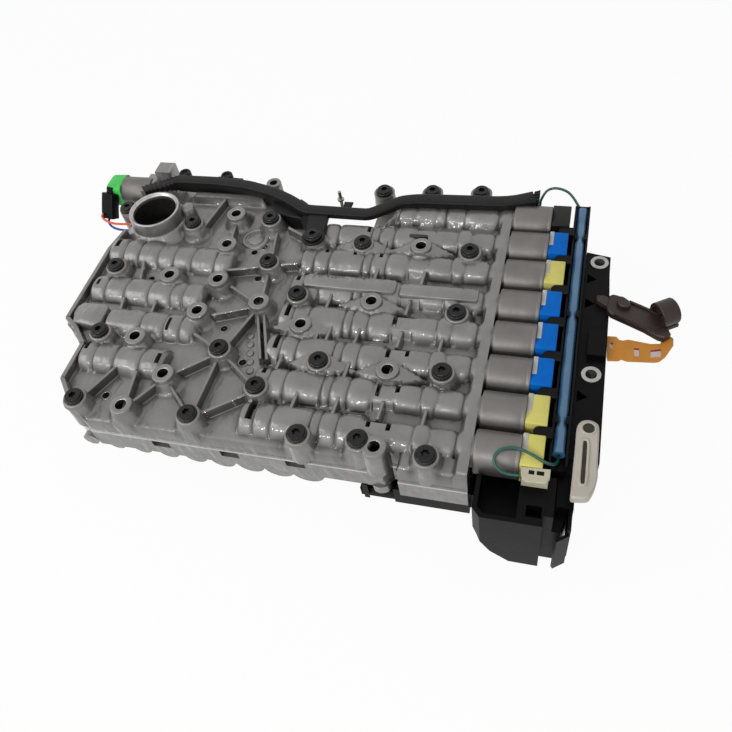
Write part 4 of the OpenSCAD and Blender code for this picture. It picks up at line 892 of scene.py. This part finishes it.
# its middle line takes even steps from stop to stop, and a bell curve rounds the bends
step, bend, softness = 0.8, 9, 3.2
legs = np.linalg.norm(np.diff(channel_stops, axis=0), axis=1)
stop_at = np.concatenate([[0], np.cumsum(legs)])
travel = np.arange(0, stop_at[-1], step)
line = np.column_stack([np.interp(travel, stop_at, channel_stops[:, i]) for i in (0, 1)])
bell = np.exp(-0.5 * (np.arange(-bend, bend + 1) / softness) ** 2)
bell /= bell.sum()
padded = np.vstack([np.repeat(line[:1], bend, axis=0), line, np.repeat(line[-1:], bend, axis=0)])
line = np.column_stack([np.convolve(padded[:, i], bell, "valid") for i in (0, 1)])
side = right_of(np.gradient(line, axis=0))


def past(x, soft):
    """Share that rises from 0 to 1 where the channel passes a place along X, as a logistic curve."""
    return 1 / (1 + np.exp(-(line[:, 0] - x) / soft))


# its width grows in the corrugation, right of the step and at the open end; its depth in two stretches
corrugated, fold, mouth = 27, 3.4, 12
wide = 1 + 0.10 * np.sign(np.sin(2 * np.pi * travel / fold)) * (travel < corrugated)
wide = wide + 0.14 * past(-74, 4) + 0.15 * np.clip((travel - stop_at[-1] + mouth) / mouth, 0, 1)
deep = 5.5 * past(-262, 3) * (1 - past(-160, 3)) + 2.5 * past(-70, 3)
channel_w, channel_h, channel_z = 8.6, 5.2, 65.6
ring = rounded_ring(channel_w, channel_h, 1.4)
ring_side, ring_up = ring[None].transpose(2, 0, 1)
across_line = line[:, None] + (wide[:, None] * ring_side)[..., None] * side[:, None]
heights = channel_z + (1 + 0.5 * (wide[:, None] - 1)) * ring_up - deep[:, None] * (ring_up < 0)
duct_points = np.concatenate([across_line, heights[..., None]], -1).reshape(-1, 3)
duct = (duct_points, capped_faces(len(line), len(ring)))
tine_end = 16.2
tines = []
for i in range(4):
    tine = [[10 + 1.1 * i, 98.8 + 2.3 * i], [tine_end, 99.4 + 2.9 * i], [tine_end, 100.4 + 2.9 * i],
            [9 + 1.1 * i, 100.2 + 2.3 * i]]
    tines.append(plate(tine, 62.8, 69.0, 0.3))
step_leg = [
    [-179, 97.5], [-172, 96], [-148, 86], [-145, 80], [-148.7, 74.1], [-159, 75.6], [-170.9, 77.8],
    [-174, 87]]
clip_arm = [[-138.8, 54], [-125.2, 54], [-127.6, 80], [-142, 80]]
rivet_profile = [[0.01, 62], [4.6, 62], [4.6, 66.6], [4.2, 67.2], [2.6, 67.4], [2.4, 66.4], [0.01, 66.3]]
rivets = turned(rivet_profile, [[-255, 112.2, 0], [-219.3, 111.6, 0]], 32)
tabs = [
    plate([[-226, 107.5], [-205, 106.5], [-205, 109.6], [-226, 110.6]], 62.5, 66.2, 0.4),
    plate([[-154, 86.5], [-147, 83], [-146, 86], [-152, 90]], 61, 66.4, 0.4),
    plate([[-118.5, 80], [-114, 80], [-113, 91], [-119.5, 91]], 63.8, 65.2, 0.3)]
clip_low, clip_high = z_seat + 0.05, z_seat + clip_t
clip_profile = [
    [3.3, clip_low], [8.2, clip_low], [8.2, clip_high - 0.3], [7.9, clip_high], [3.3, clip_high],
    [3.3, clip_low]]
clip_ring = turned(clip_profile, upright(bolt_places[-1]), 40)
channel_shape = join(
    duct, plate(step_leg, 50, 62.6, 0.6), plate(clip_arm, 63, 66.4, 0.5), *tines, *tabs, rivets, clip_ring)
add_piece("cable_duct", channel_shape, [channel_black], "black_plastic", ["cable_channel"])

# Lock solenoid: a small plated can pressed into the block in the back left corner, with a moulded green cap
# and a black plug on its side, where the orange and the blue lead end.
cap_green = grained("cap_green", (0.085, 0.68, 0.135), (0.07, 0.60, 0.115), 120, 0.4, 0.02, shine=0.15)
lock_place = [3.6, 108.0, 49.0]
lock_can = [[0.01, -314.5], [11, -314.5], [11.2, -314.2], [11.2, -290], [10.9, -289.6], [0.01, -289.6]]
shape = turned(lock_can, [lock_place], 64, axis=0)
add_piece("lock_can", shape, [can_plating], "can_steel", ["lock_solenoid"])
lock_levels = [(-329, 14, 14, 4), (-327.5, 18, 18, 4.5), (-326, 19.6, 19.6, 4.5), (-314.4, 20.4, 20.4, 4.5)]
shape = block_along(0, lock_levels, lock_place)
add_piece("lock_cap_green", shape, [cap_green], "green_plastic", ["lock_cap"])
plug_path = np.array([[-319.6, 97.4, 54.6], [-320.2, 94.6, 50.8], [-321, 90, 44.4], [-321.5, 86.0, 38.6]])
plug_body = carried(plug_path, rounded_ring(11.4, 8.6, 1.4))
plug_latch = carried(plug_path[:3] + [0, 3.2, 3.6], rounded_ring(5.4, 3.2, 0.8))
add_piece("lock_plug_black", join(plug_body, plug_latch), [rail_black], "black_plastic", ["lock_plug"])

# Studio: a pale table that keeps a faint shadow, a bright room that the metal mirrors, a wide lamp on the
# left and a row of narrow ones low in front, which put glints on the oily casting.
table_mesh = bpy.data.meshes.new("table")
table_mesh.from_pydata([(-3, -3, 0), (3, -3, 0), (3, 3, 0), (-3, 3, 0)], [], [(0, 1, 2, 3)])
table = bpy.data.objects.new("table", table_mesh)
scene.collection.objects.link(table)


def seen_or_mirrored(tree):
    """1 for rays from the camera, from glossy surfaces and through clear ones, 0 for lighting rays."""
    rays = add_node(tree, "LightPath")
    first = add_node(tree, "Math")
    first.operation = "MAXIMUM"
    second = add_node(tree, "Math")
    second.operation = "MAXIMUM"
    tree.links.new(rays.outputs["Is Camera Ray"], first.inputs[0])
    tree.links.new(rays.outputs["Is Glossy Ray"], first.inputs[1])
    tree.links.new(first.outputs[0], second.inputs[0])
    tree.links.new(rays.outputs["Is Transmission Ray"], second.inputs[1])
    return second.outputs[0]


table_top = bpy.data.materials.new("table_top")
table_top.use_nodes = True
tree = table_top.node_tree
tree.nodes.clear()
paper = add_node(tree, "BsdfDiffuse", Color=(0.85, 0.85, 0.85, 1))
glow = add_node(tree, "Emission")
amount = add_node(tree, "Math")
amount.operation = "MULTIPLY"
amount.inputs[1].default_value = 0.95
both = add_node(tree, "MixShader")
result = add_node(tree, "OutputMaterial")
tree.links.new(seen_or_mirrored(tree), amount.inputs[0])
tree.links.new(amount.outputs[0], both.inputs[0])
tree.links.new(paper.outputs[0], both.inputs[1])
tree.links.new(glow.outputs[0], both.inputs[2])
tree.links.new(both.outputs[0], result.inputs["Surface"])
table_mesh.materials.append(table_top)

room = bpy.data.worlds.new("room")
room.use_nodes = True
scene.world = room
tree = room.node_tree
backdrop = tree.nodes["Background"]
backdrop.inputs["Color"].default_value = (1, 1, 1, 1)
brightness = add_node(tree, "MapRange", To_Min=0.45, To_Max=1.0)
tree.links.new(seen_or_mirrored(tree), brightness.inputs["Value"])
tree.links.new(brightness.outputs["Result"], backdrop.inputs["Strength"])


def add_lamp(name, place, width, height, power):
    """A flat lamp at a place, in metres, that faces the middle of the part."""
    light = bpy.data.lights.new(name, "AREA")
    light.shape = "RECTANGLE"
    light.size, light.size_y = width, height
    light.energy = power
    lamp = bpy.data.objects.new(name, light)
    back = np.asarray(place, float) - [0.05, 0, 0.05]
    back /= np.linalg.norm(back)
    side = np.cross([0.0, 0.0, 1.0], back)
    side /= np.linalg.norm(side)
    seat = np.eye(4)
    seat[:3, :3] = np.column_stack([side, np.cross(back, side), back])
    seat[:3, 3] = place
    lamp.matrix_world = Matrix(seat.tolist())
    scene.collection.objects.link(lamp)


add_lamp("side_lamp", (-0.95, -0.35, 0.95), 0.7, 0.7, 4.0)
for i, x in enumerate((-0.75, -0.42, -0.1, 0.22)):
    add_lamp(f"front_lamp_{i}", (x, -0.95, 0.70), 0.045, 0.11, 1.25)
scene.view_settings.view_transform = "Standard"
